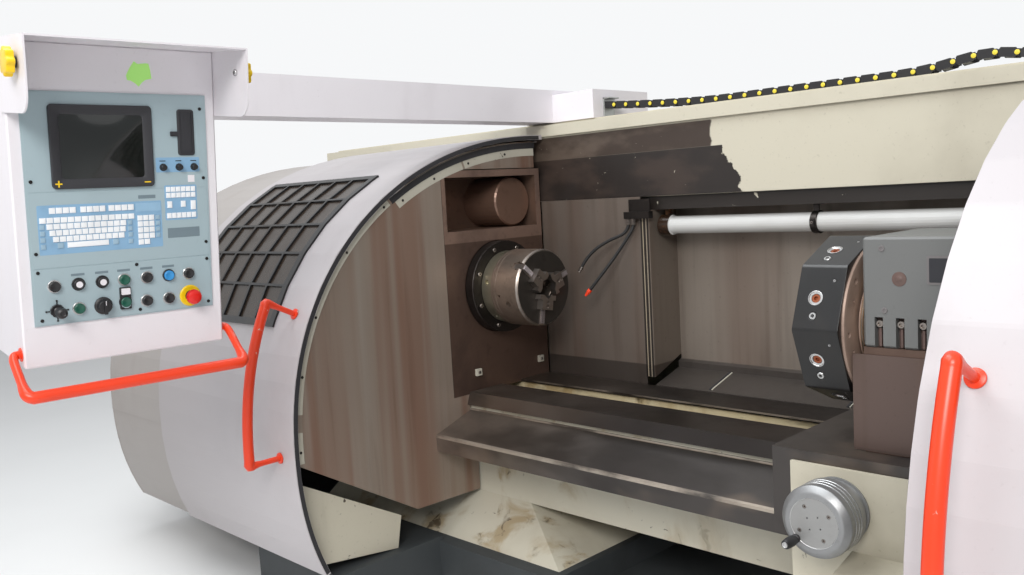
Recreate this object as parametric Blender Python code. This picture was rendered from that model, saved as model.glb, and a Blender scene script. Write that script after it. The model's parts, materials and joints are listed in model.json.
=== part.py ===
"""CNC turning lathe with two barrel-shaped sliding doors, a three-jaw chuck, a drum turret and a
control console that hangs from a boom on the roof.

Metres, +Z up. Everything is drawn about the spindle line: X runs along the spindle from the chuck's
face towards the tail end, Y runs to the back, and Z is counted from the spindle's centre. The root
empty then sets the whole machine down with the middle of its outline on the origin.
"""

import math

import bmesh
import bpy
from mathutils import Matrix, Vector

# Clearances
GAP = 0.0003
SLIDING = 0.0004
BEARING = 0.0005

# Overall arrangement
SPINDLE_HEIGHT = 1.150
WALL_X = -0.260
OPENING = 2.160
LEFT_COVER_LENGTH = 1.640
BED_RIGHT = 2.850
END_ROOM = 0.250
BACK_Y = 0.850
FLOOR = -SPINDLE_HEIGHT
RIGHT_X = WALL_X + OPENING
LEFT_END = WALL_X - LEFT_COVER_LENGTH
RIGHT_END = BED_RIGHT + END_ROOM
MID_X = (WALL_X + RIGHT_X) / 2

# Barrel section of the doors and covers, a rounded square arc
BARREL_Y = 0.285
BARREL_Z = -0.489
BARREL_DEPTH = 1.349
BARREL_RISE = 1.125
BARREL_POWER = 2.18
BARREL_STEPS = 22

# Base
PLINTH_HEIGHT = 0.150
PLINTH_SET_IN = 0.020
PLINTH_FRONT = -0.410
PLINTH_LEFT = LEFT_END + PLINTH_SET_IN
PLINTH_STEP_LEFT = 0.360
PLINTH_STEP_RIGHT = 1.950
PLINTH_RIGHT = RIGHT_END - PLINTH_SET_IN
PAN_HEIGHT = 0.050
STEP_BOX_LEFT = -0.850
STEP_BOX_FRONT = -0.900

# Bed casting
BED_TOP = -0.432
BED_BOTTOM = -0.850
BED_FRONT = -0.170
BED_BACK = 0.245
BED_WALL = 0.080
BED_FLOOR = 0.050
BED_LEFT = LEFT_END + 0.750
RAIL_OVERHANG = 0.030
RAIL_WIDTH = 0.165
RAIL_DEPTH = 0.068
FOOT_FLARE_X = 0.300
FOOT_FLARE_Y = 0.176
FOOT_FLARE_BACK = 0.050

# Hardened ways and the ledge cover in front of them
WAY_TOP = -0.422
FRONT_WAY = (-0.222, -0.012)
REAR_WAY = (0.100, 0.281)
WAY_LIP = 0.050
LEDGE_FRONT = -0.397
LEDGE_TOP = -0.498
LEDGE_DROP = 0.066
LEDGE_SKIRT = 0.061
SHEET = 0.003

# Headstock
HEAD_FRONT = -0.290
HEAD_BACK = 0.282
HEAD_ROOM = 0.004
HEAD_LEFT = -1.050
SPINDLE_BORE = 0.195
RECESS_SIDES = (-0.270, 0.255)
RECESS_FLOOR = 0.245
RECESS_CEILING = 0.028
RECESS_DEPTH = 0.240
RECESS_DRUM_RADIUS = 0.106
RECESS_DRUM_LENGTH = 0.200

# Spindle and chuck
SPINDLE_TAIL = -1.500
SPINDLE_RADIUS = 0.110
NOSE_RADIUS = 0.192
NOSE_BACK = -0.256
NOSE_FRONT = -0.210
ADAPTOR_RADIUS = 0.150
ADAPTOR_FRONT = -0.150
CHUCK_RADIUS = 0.1575
CHUCK_BORE = 0.046
JAW_START = -100
JAW_TONGUE = 0.028
TONGUE_INNER = 0.056
JAW_OUTER = 0.150
JAW_INNER = 0.030
JAW_SHOULDER = 0.050
JAW_END = 0.090
JAW_ARM = 0.045
JAW_BODY = 0.031
JAW_NOTCH = 0.016
JAW_PROUD = 0.030
SLOT_DEPTH = 0.050
BED_PULLEY_RADIUS = 0.170
PULLEY_WIDTH = 0.110
PULLEY_X = -1.380
MOTOR_Y = 0.500
MOTOR_Z = -0.560
MOTOR_RADIUS = 0.190
MOTOR_LENGTH = 0.620
MOTOR_PULLEY_RADIUS = 0.115
MOTOR_SHAFT = 0.030
BELT_THICKNESS = 0.014

# Doors
DOOR_LENGTH = 1.075
DOOR_LAP = 0.027
DOOR_WALL = 0.020
DOOR_LOW_ANGLE = -22.2
COVER_INSET = 0.026
COVER_WALL = 0.004
COVER_LOW_ANGLE = -1.5
CHIN_LOW_ANGLE = -24.0
CHIN_CLEAR = 0.010
WINDOW_ANGLES = (21.8, 57.7)
WINDOW_MARGIN = 0.225
WINDOW_LENGTH = 0.740
WINDOW_LAP = 0.020
WINDOW_FRAME = 0.030
WINDOW_BAR = 0.012
WINDOW_PANES = (6, 5)
WINDOW_PROUD = 0.008
PANE = 0.005
HANDLE_TUBE = 0.036
HANDLE_ARM = 0.020
HANDLE_STAND = 0.120
HANDLE_ANGLES = (23.8, -0.5)
HANDLE_INSET = 0.095

PER_METRE = math.degrees(1 / BARREL_DEPTH)

# Sheet walls at the ends of the work space
SKIRT_DROP = 0.040
ARC_STRIP = 0.022
RIGHT_BAND = 0.090

# Roof beam and the back of the work space
BEAM_FRONT = 0.300
BEAM_BOTTOM = 0.345
BEAM_TOP = 0.675
BEAM_WALL = 0.006
LIP_HEIGHT = 0.048
LIP_OVERHANG = BEAM_FRONT - BARREL_Y - SLIDING
SUB_BEAM_DEPTH = 0.055
SUB_BEAM_FRONT = 0.320
SUB_BEAM_WIDTH = 0.100
CORNER_X = 0.285
CORNER_WIDTH = 0.045
POST_PROUD = 0.006
SIDE_WALL_Y = 0.290
REAR_WALL_Y = 0.470
REAR_WALL_FOOT = -0.339
SIDE_WALL_FOOT = -0.449
LAMP_RADIUS = 0.035
LAMP_Y = 0.365
LAMP_Z = 0.225
LAMP_LENGTH = 1.500

# Carriage, cross slide and turret
CARRIAGE_X = 1.270
CARRIAGE_LENGTH = 0.600
SADDLE_TOP = -0.350
SADDLE_FRONT = -0.460
SADDLE_BACK = 0.278
APRON_BOTTOM = -0.780
APRON_STEP_TOP = -0.595
APRON_STEP_FRONT = -0.610
APRON_STEP_X = 0.230
SLIDE_X = 0.230
SLIDE_LENGTH = 0.420
SLIDE_FRONT = -0.380
SLIDE_BACK = 0.290
HOUSING_BOTTOM = -0.068
HOUSING_TOP = 0.219
HOUSING_X = 0.230
HOUSING_LENGTH = 0.420
HOUSING_BACK = -0.010
HOUSING_BOLTS = 5
BOLT_SLOT = 0.022
BOLT_SLOT_HEIGHT = 0.080
TURRET_Y = -0.200
TURRET_Z = -0.026
TURRET_X = 0.056
TURRET_WIDTH = 0.130
TURRET_RADIUS = 0.240
STATIONS = 8
STATION_BORE = 0.020
STATION_DEPTH = 0.045
STATION_SCREW = 0.011
INDEX_RING_RADIUS = 0.150

# Handwheel
WHEEL_X = 0.194
WHEEL_Z = -0.489
WHEEL_RADIUS = 0.095
WHEEL_LENGTH = 0.135
GRIP_ANGLE = 225
GRIP_RADIUS = 0.012
GRIP_LENGTH = 0.060

# Boom and console
BOOM_WIDTH = 0.140
BOOM_HEIGHT = 0.140
BOOM_X = -0.260
BOOM_FRONT = -1.830
BOOM_BACK = 0.740
BOOM_BASE_LENGTH = 0.400
BOOM_BASE_FRONT = 0.120
TRACK_HEIGHT = 0.010
POST_Y = -1.755
POST_RADIUS = 0.045
POST_BOTTOM = 0.395
CHAIN_START = 0.300
CHAIN_END = 2.160
CHAIN_FRONT = 0.390
CHAIN_WIDTH = 0.060
CHAIN_THICKNESS = 0.030
CHAIN_LINK = 0.062
PIVOT_BACK = 0.335
PIVOT_RADIUS = 0.012
PIVOT_BARREL = 0.028
PIVOT_LENGTH = 0.060
CONSOLE_CENTRE = (0.204, -1.748, 0.406)
CONSOLE_YAW = 87.1
CONSOLE_LEAN = 6.7
PANEL = (0.450, 0.564)
CASE_MARGIN = 0.028
CASE_DEPTH = 0.284
CASE_HEAD = 0.113
CASE_FOOT = 0.103
CASE_WALL = 0.003
PANEL_THICKNESS = 0.004
VISOR_DEPTH = 0.190
VISOR_DROP = 0.165
VISOR_SHEET = 0.004
VISOR_CORNER = 0.045
KNOB_RADIUS = 0.030
KNOB_LENGTH = 0.026
KNOB_HEIGHT = 0.340
KNOB_FORWARD = 0.130
SCREEN = (-0.165, 0.080, 0.050, 0.252)
SCREEN_PROUD = 0.008
SCREEN_FRAME = 0.024
SLOT = (0.150, 0.188, 0.130, 0.242)
BUTTON_RADIUS = 0.0125
BUTTON_PROUD = 0.010
BUTTON_ROW = -0.186
LOWER_ROW = -0.247
UPPER_BUTTONS = (-0.176, -0.120, -0.063, -0.009, 0.049, 0.106, 0.160)
LOWER_BUTTONS = (-0.122, -0.009, 0.046, 0.104)
SMALL_KNOBS = (0.106, 0.148, 0.188)
SMALL_KNOB_ROW = 0.097
STOP_PLACE = 0.162
STOP_RADIUS = 0.020
STOP_TRAVEL = 0.006
DIAL_PLACE = -0.064
DIAL_RADIUS = 0.022
JOYSTICK_PLACE = -0.173
JOYSTICK_RADIUS = 0.014
GRAB_TUBE = 0.030
GRAB_FORWARD = 0.085
GRAB_HEIGHT = -0.432

# Coolant hoses
HOSE_RADIUS = 0.007
BRACKET = (0.225, 0.350)
REAR_HOSE_FALL = (
    (0.0, 0.0), (0.0, 0.0120), (0.0028, 0.0310), (0.0128, 0.0490), (0.0290, 0.0620), (0.0560, 0.0735),
    (0.0916, 0.0880), (0.1443, 0.1180), (0.1886, 0.1601), (0.2228, 0.2119),
)


# Materials


def material(name, colour, roughness=0.5, metallic=0.0):
    found = bpy.data.materials.get(name)
    if found:
        return found
    made = bpy.data.materials.new(name)
    made.use_nodes = True
    shader = made.node_tree.nodes["Principled BSDF"]
    shader.inputs["Base Color"].default_value = (*colour, 1.0)
    shader.inputs["Roughness"].default_value = roughness
    shader.inputs["Metallic"].default_value = metallic
    made.diffuse_color = (*colour, 1.0)
    return made


DOOR_PAINT = ("door_paint", (0.68, 0.66, 0.68), 0.45)
CREAM_PAINT = ("cream_paint", (0.72, 0.70, 0.58), 0.5)
BASE_PAINT = ("base_paint", (0.07, 0.08, 0.09), 0.6)
STAINED_STEEL = ("stained_steel", (0.26, 0.21, 0.18), 0.4, 0.8)
DARK_STEEL = ("dark_steel", (0.09, 0.08, 0.08), 0.35, 0.9)
BRIGHT_STEEL = ("bright_steel", (0.55, 0.53, 0.51), 0.3, 1.0)
BLACK_PAINT = ("black_paint", (0.02, 0.02, 0.022), 0.4)
GREY_PAINT = ("grey_paint", (0.24, 0.25, 0.26), 0.5)
BRASS = ("brass", (0.6, 0.45, 0.2), 0.35, 1.0)
HANDLE_RED = ("handle_red", (0.82, 0.08, 0.02), 0.35)
RUBBER = ("rubber", (0.02, 0.02, 0.02), 0.7)
CLEAR = ("clear_sheet", (0.3, 0.28, 0.25), 0.15)
LAMP_WHITE = ("lamp_white", (0.85, 0.87, 0.9), 0.2)
CONSOLE_WHITE = ("console_white", (0.78, 0.78, 0.8), 0.45)
PANEL_BLUE = ("panel_blue", (0.38, 0.47, 0.52), 0.5)
KNOB_YELLOW = ("knob_yellow", (0.85, 0.62, 0.02), 0.4)
STOP_RED = ("stop_red", (0.75, 0.03, 0.02), 0.3)


# Building tools


def clear_scene():
    for obj in list(bpy.data.objects):
        bpy.data.objects.remove(obj, do_unlink=True)


def empty(name, parent=None, at=(0, 0, 0)):
    made = bpy.data.objects.new(name, None)
    bpy.context.scene.collection.objects.link(made)
    made.parent = parent
    made.location = at
    return made


def finish(bm, name, look, parent, smooth=None):
    """The bmesh as an object under parent, its faces turned outwards."""
    bmesh.ops.remove_doubles(bm, verts=bm.verts, dist=0.00001)
    bmesh.ops.recalc_face_normals(bm, faces=bm.faces)
    mesh = bpy.data.meshes.new(name)
    bm.to_mesh(mesh)
    bm.free()
    if smooth:
        mesh.shade_smooth()
        mesh.set_sharp_from_angle(angle=math.radians(smooth))
    mesh.materials.append(material(*look))
    obj = bpy.data.objects.new(name, mesh)
    bpy.context.scene.collection.objects.link(obj)
    obj.parent = parent
    return obj


PLACES = {
    "X": lambda a, b, along: (along, a, b),
    "Y": lambda a, b, along: (a, along, b),
    "Z": lambda a, b, along: (a, b, along),
}


def prism(bm, outline, axis, low, high):
    """Extrudes a closed outline along an axis. Along X it is (y, z), along Y (x, z), along Z (x, y)."""
    place = PLACES[axis]
    base = bm.faces.new([bm.verts.new(place(a, b, low)) for a, b in outline])
    grown = bmesh.ops.extrude_face_region(bm, geom=[base])
    shift = Vector(place(0, 0, high - low))
    moved = [v for v in grown["geom"] if isinstance(v, bmesh.types.BMVert)]
    bmesh.ops.translate(bm, vec=shift, verts=moved)


def box(bm, low, high):
    outline = ((low[0], low[1]), (high[0], low[1]), (high[0], high[1]), (low[0], high[1]))
    prism(bm, outline, "Z", low[2], high[2])


def turned(bm, profile, axis, centre, steps):
    """Revolves a closed profile of (radius, along) about an axis through centre."""
    rings = []
    for radius, along in profile:
        if radius < 1e-6:
            rings.append([bm.verts.new(round_place(axis, centre, 0, 0, along))])
            continue
        ring = []
        for step in range(steps):
            turn = 2 * math.pi * step / steps
            ring.append(bm.verts.new(round_place(axis, centre, radius, turn, along)))
        rings.append(ring)
    for first, second in zip(rings, rings[1:] + rings[:1]):
        if len(first) == 1 and len(second) == 1:
            continue
        for step in range(steps):
            after = (step + 1) % steps
            if len(first) == 1:
                bm.faces.new((first[0], second[step], second[after]))
            elif len(second) == 1:
                bm.faces.new((first[step], second[0], first[after]))
            else:
                bm.faces.new((first[step], second[step], second[after], first[after]))


def round_place(axis, centre, radius, turn, along):
    a = radius * math.cos(turn)
    b = radius * math.sin(turn)
    x, y, z = PLACES[axis](a, b, along)
    return (centre[0] + x, centre[1] + y, centre[2] + z)


def solid_prism(name, look, parent, outline, axis, low, high):
    bm = bmesh.new()
    prism(bm, outline, axis, low, high)
    return finish(bm, name, look, parent)


def solid_box(name, look, parent, low, high):
    bm = bmesh.new()
    box(bm, low, high)
    return finish(bm, name, look, parent)


def solid_turned(name, look, parent, profile, axis, centre, steps=32):
    bm = bmesh.new()
    turned(bm, profile, axis, centre, steps)
    return finish(bm, name, look, parent, smooth=35)


def helper(obj):
    """Marks a shape that only cuts or joins another."""
    obj.hide_render = True
    obj.display_type = "WIRE"
    return obj


def combine(obj, other, operation):
    step = obj.modifiers.new(operation.lower() + "_" + other.name, "BOOLEAN")
    step.operation = operation
    step.solver = "EXACT"
    step.object = helper(other)
    return obj


def cut(obj, *others):
    for other in others:
        combine(obj, other, "DIFFERENCE")
    return obj


def join(obj, *others):
    for other in others:
        combine(obj, other, "UNION")
    return obj


def sheet_outline(line, thickness):
    """A folded strip's closed outline: the line, and the same line moved to its left by the thickness."""
    inner = []
    for i, point in enumerate(line):
        here = Vector(point)
        before = (here - Vector(line[i - 1])).normalized() if i else None
        after = (Vector(line[i + 1]) - here).normalized() if i + 1 < len(line) else None
        if before is None or after is None:
            way = after if before is None else before
            inner.append(here + thickness * Vector((-way.y, way.x)))
            continue
        first = Vector((-before.y, before.x))
        second = Vector((-after.y, after.x))
        middle = (first + second).normalized()
        inner.append(here + middle * thickness / middle.dot(first))
    return list(line) + [tuple(point) for point in reversed(inner)]


def barrel(angle, inset=0.0):
    """(y, z) of the barrel section at an angle above its foremost point, moved in by inset."""
    c = math.cos(math.radians(angle))
    s = math.sin(math.radians(angle))
    share = 2 / BARREL_POWER
    y = BARREL_Y - (BARREL_DEPTH - inset) * abs(c) ** share
    z = BARREL_Z + (BARREL_RISE - inset) * math.copysign(abs(s) ** share, s)
    return y, z


def barrel_angle(y=None, z=None, inset=0.0):
    """The angle at which the barrel section reaches this y on its upper side, or this z."""
    if z is not None:
        s = (z - BARREL_Z) / (BARREL_RISE - inset)
        return math.degrees(math.asin(math.copysign(abs(s) ** (BARREL_POWER / 2), s)))
    c = (BARREL_Y - y) / (BARREL_DEPTH - inset)
    return math.degrees(math.acos(c ** (BARREL_POWER / 2)))


def spread(first, last, steps):
    return [first + (last - first) * i / steps for i in range(steps + 1)]


def barrel_lattice(bm, xs, angles, outer, inner, open_cells):
    """A curved wall between two insets on a grid of xs and angles, without the cells in open_cells."""
    skins = []
    for inset in (outer, inner):
        skins.append([[bm.verts.new((x, *barrel(a, inset))) for a in angles] for x in xs])
    columns = len(xs) - 1
    rows = len(angles) - 1

    def filled(i, j):
        return 0 <= i < columns and 0 <= j < rows and (i, j) not in open_cells

    for i in range(columns):
        for j in range(rows):
            if not filled(i, j):
                continue
            for skin in skins:
                bm.faces.new((skin[i][j], skin[i + 1][j], skin[i + 1][j + 1], skin[i][j + 1]))
            sides = (
                ((i, j), (i, j + 1), (i - 1, j)),
                ((i + 1, j), (i + 1, j + 1), (i + 1, j)),
                ((i, j), (i + 1, j), (i, j - 1)),
                ((i, j + 1), (i + 1, j + 1), (i, j + 1)),
            )
            for a, b, beyond in sides:
                if not filled(*beyond):
                    outside, inside = skins
                    bm.faces.new(
                        (outside[a[0]][a[1]], outside[b[0]][b[1]], inside[b[0]][b[1]], inside[a[0]][a[1]])
                    )


def tube(name, look, parent, points, radius, radii=None, resolution=3):
    """A round bar or hose through points, with closed ends."""
    curve = bpy.data.curves.new(name, "CURVE")
    curve.dimensions = "3D"
    curve.bevel_depth = radius
    curve.bevel_resolution = resolution
    curve.use_fill_caps = True
    spline = curve.splines.new("POLY")
    spline.points.add(len(points) - 1)
    for i, point in enumerate(points):
        spline.points[i].co = (*point, 1.0)
        spline.points[i].radius = radii[i] if radii else 1.0
    curve.materials.append(material(*look))
    obj = bpy.data.objects.new(name, curve)
    bpy.context.scene.collection.objects.link(obj)
    obj.parent = parent
    return obj


def smooth_route(points, spacing):
    """Points along a smooth curve through the route's own points."""
    chain = [Vector(p) for p in points]
    chain = [2 * chain[0] - chain[1]] + chain + [2 * chain[-1] - chain[-2]]
    found = []
    for p0, p1, p2, p3 in zip(chain, chain[1:], chain[2:], chain[3:]):
        steps = max(1, round((p2 - p1).length / spacing))
        for step in range(steps):
            t = step / steps
            found.append(
                0.5 * (2 * p1 + (p2 - p0) * t + (2 * p0 - 5 * p1 + 4 * p2 - p3) * t**2
                       + (3 * p1 - p0 - 3 * p2 + p3) * t**3)
            )
    return found + [chain[-2]]


# Base, bed and headstock


def make_base(machine):
    """Dark plinth: two blocks with a low chip pan between them, and a box under the left door."""
    floor = FLOOR
    top = floor + PLINTH_HEIGHT
    pan = floor + PAN_HEIGHT
    outline = (
        (PLINTH_LEFT, floor), (PLINTH_RIGHT, floor), (PLINTH_RIGHT, top), (PLINTH_STEP_RIGHT, top),
        (PLINTH_STEP_RIGHT, pan), (PLINTH_STEP_LEFT, pan), (PLINTH_STEP_LEFT, top), (PLINTH_LEFT, top),
    )
    base = solid_prism("base_plinth", BASE_PAINT, machine, outline, "Y", PLINTH_FRONT, BACK_Y)
    step = solid_box(
        "step_box", BASE_PAINT, machine, (STEP_BOX_LEFT, STEP_BOX_FRONT, floor),
        (WALL_X - 0.010, PLINTH_FRONT + 0.020, top + 0.015),
    )
    return join(base, step)


def bed_section():
    """U section with overhanging rail heads, open upwards as the chip gap."""
    front_out = BED_FRONT - RAIL_OVERHANG
    front_in = front_out + RAIL_WIDTH
    back_out = BED_BACK + RAIL_OVERHANG
    back_in = back_out - RAIL_WIDTH
    head = BED_TOP - RAIL_DEPTH
    neck = head - RAIL_OVERHANG
    trough = BED_BOTTOM + BED_FLOOR
    return (
        (BED_FRONT, BED_BOTTOM), (BED_FRONT, neck), (front_out, head), (front_out, BED_TOP),
        (front_in, BED_TOP), (front_in, head), (BED_FRONT + BED_WALL, neck), (BED_FRONT + BED_WALL, trough),
        (BED_BACK - BED_WALL, trough), (BED_BACK - BED_WALL, neck), (back_in, head), (back_in, BED_TOP),
        (back_out, BED_TOP), (back_out, head), (BED_BACK, neck), (BED_BACK, BED_BOTTOM),
    )


def splayed_foot(name, machine, left, right, flare_left, flare_right):
    """A foot under the bed that spreads towards the plinth from a short upright neck."""
    low = FLOOR + PLINTH_HEIGHT + GAP
    neck = BED_BOTTOM - 0.001
    inside = 0.0005
    rings = (
        (low, flare_left, flare_right, FOOT_FLARE_Y, FOOT_FLARE_BACK), (neck, 0, 0, -inside, -inside),
        (BED_BOTTOM + 0.020, 0, 0, -inside, -inside),
    )
    bm = bmesh.new()
    loops = []
    for z, out_left, out_right, out_front, out_back in rings:
        front = BED_FRONT - out_front
        back = BED_BACK + out_back
        corners = ((left - out_left, front), (right + out_right, front), (right + out_right, back),
                   (left - out_left, back))
        loops.append([bm.verts.new((x, y, z)) for x, y in corners])
    bm.faces.new(loops[0])
    bm.faces.new(loops[-1])
    for first, second in zip(loops, loops[1:]):
        for i in range(4):
            j = (i + 1) % 4
            bm.faces.new((first[i], first[j], second[j], second[i]))
    return finish(bm, name, CREAM_PAINT, machine)


def make_bed(machine):
    bed = solid_prism("bed_casting", CREAM_PAINT, machine, bed_section(), "X", BED_LEFT, BED_RIGHT)
    left = splayed_foot("left_foot", machine, BED_LEFT + 0.010, 0.027, 0.030, FOOT_FLARE_X)
    right = splayed_foot("right_foot", machine, PLINTH_STEP_RIGHT + 0.330, BED_RIGHT - 0.010, 0.300, 0.030)
    join(bed, left, right)
    for name, (front, back) in (("front_way", FRONT_WAY), ("rear_way", REAR_WAY)):
        lip = WAY_TOP - WAY_LIP
        top = BED_TOP + GAP
        if name == "front_way":
            outer = BED_FRONT - RAIL_OVERHANG - GAP
            outline = ((outer, lip), (outer, top), (back, top), (back, WAY_TOP), (front + 0.018, WAY_TOP),
                       (front, lip))
        else:
            outer = BED_BACK + RAIL_OVERHANG + GAP
            outline = ((outer, lip), (outer, top), (front, top), (front, WAY_TOP), (back, WAY_TOP),
                       (back, lip))
        solid_prism(name, DARK_STEEL, machine, outline, "X", WALL_X + GAP, BED_RIGHT)
    flange = BED_FRONT - RAIL_OVERHANG - GAP
    line = (
        (flange, BED_TOP - RAIL_DEPTH + 0.010), (flange, LEDGE_TOP),
        (LEDGE_FRONT, LEDGE_TOP - LEDGE_DROP), (LEDGE_FRONT + 0.002, LEDGE_TOP - LEDGE_DROP - LEDGE_SKIRT),
        (LEDGE_FRONT + 0.022, LEDGE_TOP - LEDGE_DROP - LEDGE_SKIRT),
    )
    ledge_outline = sheet_outline(list(reversed(line)), SHEET)
    solid_prism("ledge_cover", DARK_STEEL, machine, ledge_outline, "X", WALL_X + GAP, BED_RIGHT)


def make_headstock(machine):
    """Casting on the bed with the spindle bore and, above it, a recess that holds a drum."""
    crown = head_top()
    head = solid_box("headstock_casting", STAINED_STEEL, machine, (HEAD_LEFT, HEAD_FRONT, BED_TOP + GAP),
                     (WALL_X, HEAD_BACK, crown))
    bm = bmesh.new()
    hole = SPINDLE_RADIUS + BEARING
    step = NOSE_BACK - 0.035
    profile = ((0, HEAD_LEFT - 0.05), (hole, HEAD_LEFT - 0.05), (hole, step), (SPINDLE_BORE, step),
               (SPINDLE_BORE, WALL_X + 0.05), (0, WALL_X + 0.05))
    turned(bm, profile, "X", (0, 0, 0), 64)
    bore = finish(bm, "spindle_bore", DARK_STEEL, machine)
    front, back = RECESS_SIDES
    bottom = RECESS_FLOOR
    top = crown - RECESS_CEILING
    recess = solid_box("recess_void", DARK_STEEL, machine, (WALL_X - RECESS_DEPTH, front, bottom),
                       (WALL_X + 0.05, back, top))
    cut(head, bore, recess)
    drum_y = back - RECESS_DRUM_RADIUS - GAP
    drum_z = (bottom + top) / 2
    start = WALL_X - RECESS_DEPTH + GAP
    end = start + RECESS_DRUM_LENGTH
    edge = 0.006
    profile = ((0, start), (RECESS_DRUM_RADIUS, start), (RECESS_DRUM_RADIUS, end - edge),
               (RECESS_DRUM_RADIUS - edge, end), (0, end))
    solid_turned("recess_drum", STAINED_STEEL, machine, profile, "X", (0, drum_y, drum_z), 32)


def make_drive(machine, spindle, motor_shaft):
    """Main motor behind the headstock, its pulley, and the belt up to the spindle's pulley."""
    back = PULLEY_X - PULLEY_WIDTH / 2
    front = PULLEY_X + PULLEY_WIDTH / 2
    motor_front = front + 0.020
    bm = bmesh.new()
    motor_back = motor_front + MOTOR_LENGTH
    profile = ((0, motor_front), (MOTOR_RADIUS, motor_front), (MOTOR_RADIUS, motor_back),
               (MOTOR_RADIUS * 0.7, motor_back + 0.03), (0, motor_back + 0.03))
    turned(bm, profile, "X", (0, MOTOR_Y, MOTOR_Z), 24)
    motor = finish(bm, "main_motor", GREY_PAINT, machine, smooth=35)
    foot = solid_box("motor_foot", GREY_PAINT, machine,
                     (motor_front + 0.05, MOTOR_Y - 0.16, FLOOR + PLINTH_HEIGHT + GAP),
                     (motor_front + MOTOR_LENGTH - 0.05, MOTOR_Y + 0.16, MOTOR_Z))
    shaft_bore = solid_turned("motor_shaft_bore", GREY_PAINT, machine,
                              ((0, motor_front - 0.05), (MOTOR_SHAFT + BEARING, motor_front - 0.05),
                               (MOTOR_SHAFT + BEARING, motor_front + 0.080), (0, motor_front + 0.080)),
                              "X", (0, MOTOR_Y, MOTOR_Z), 32)
    join(motor, foot)
    cut(motor, shaft_bore)
    radius = MOTOR_PULLEY_RADIUS
    profile = ((0, back), (radius, back), (radius, front), (MOTOR_SHAFT, front),
               (MOTOR_SHAFT, motor_front + 0.070), (0, motor_front + 0.070))
    solid_turned("motor_pulley", DARK_STEEL, motor_shaft, profile, "X", (0, 0, 0), 24)
    make_belt(machine, back + 0.010, front - 0.010)


def make_belt(machine, low, high):
    """An open belt round both pulleys, as a closed band."""
    centre = Vector((MOTOR_Y, MOTOR_Z))
    way = centre.normalized()
    reach = centre.length
    lean = math.asin((BED_PULLEY_RADIUS - MOTOR_PULLEY_RADIUS) / reach)
    middle = math.atan2(way.y, way.x)
    half = math.pi / 2 - lean

    def loop(extra):
        points = []
        for i in range(17):
            turn = middle + half + (2 * math.pi - 2 * half) * i / 16
            radius = BED_PULLEY_RADIUS + extra
            points.append((radius * math.cos(turn), radius * math.sin(turn)))
        for i in range(13):
            turn = middle - half + 2 * half * i / 12
            radius = MOTOR_PULLEY_RADIUS + extra
            points.append((MOTOR_Y + radius * math.cos(turn), MOTOR_Z + radius * math.sin(turn)))
        return points

    bm = bmesh.new()
    rings = []
    for extra in (GAP * 4, GAP * 4 + BELT_THICKNESS):
        for x in (low, high):
            rings.append([bm.verts.new((x, *p)) for p in loop(extra)])
    inner_low, inner_high, outer_low, outer_high = rings
    count = len(inner_low)
    for first, second in ((inner_low, inner_high), (inner_high, outer_high), (outer_high, outer_low),
                          (outer_low, inner_low)):
        for i in range(count):
            j = (i + 1) % count
            bm.faces.new((first[i], first[j], second[j], second[i]))
    finish(bm, "drive_belt", RUBBER, machine)


# Spindle and chuck


def make_spindle(spindle):
    tail = SPINDLE_TAIL
    back = PULLEY_X - PULLEY_WIDTH / 2
    front = PULLEY_X + PULLEY_WIDTH / 2
    radius = SPINDLE_RADIUS
    bore = CHUCK_BORE
    profile = (
        (bore, tail), (radius - 0.02, tail), (radius - 0.02, back), (BED_PULLEY_RADIUS, back),
        (BED_PULLEY_RADIUS, front), (radius, front), (radius, NOSE_BACK), (NOSE_RADIUS, NOSE_BACK),
        (NOSE_RADIUS, NOSE_FRONT - GAP), (bore, NOSE_FRONT - GAP),
    )
    solid_turned("spindle_shaft", DARK_STEEL, spindle, profile, "X", (0, 0, 0), 30)
    edge = 0.006
    profile = ((bore, NOSE_FRONT), (ADAPTOR_RADIUS, NOSE_FRONT), (ADAPTOR_RADIUS, ADAPTOR_FRONT - GAP),
               (bore, ADAPTOR_FRONT - GAP))
    solid_turned("chuck_adaptor", BRIGHT_STEEL, spindle, profile, "X", (0, 0, 0), 40)
    profile = (
        (CHUCK_BORE, ADAPTOR_FRONT), (CHUCK_RADIUS - edge, ADAPTOR_FRONT),
        (CHUCK_RADIUS, ADAPTOR_FRONT + edge), (CHUCK_RADIUS, -edge), (CHUCK_RADIUS - edge, 0),
        (CHUCK_BORE, 0),
    )
    chuck = solid_turned("chuck_body", BRIGHT_STEEL, spindle, profile, "X", (0, 0, 0), 48)
    for index in range(3):
        turn = math.radians(JAW_START + 120 * index)
        bm = bmesh.new()
        half = JAW_TONGUE / 2 + GAP * 2
        box(bm, (-SLOT_DEPTH, 0.010, -half), (0.05, CHUCK_RADIUS + 0.05, half))
        slot = finish(bm, f"jaw_slot_{index + 1}", DARK_STEEL, spindle)
        slot.rotation_euler = (turn, 0, 0)
        cut(chuck, slot)


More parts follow.
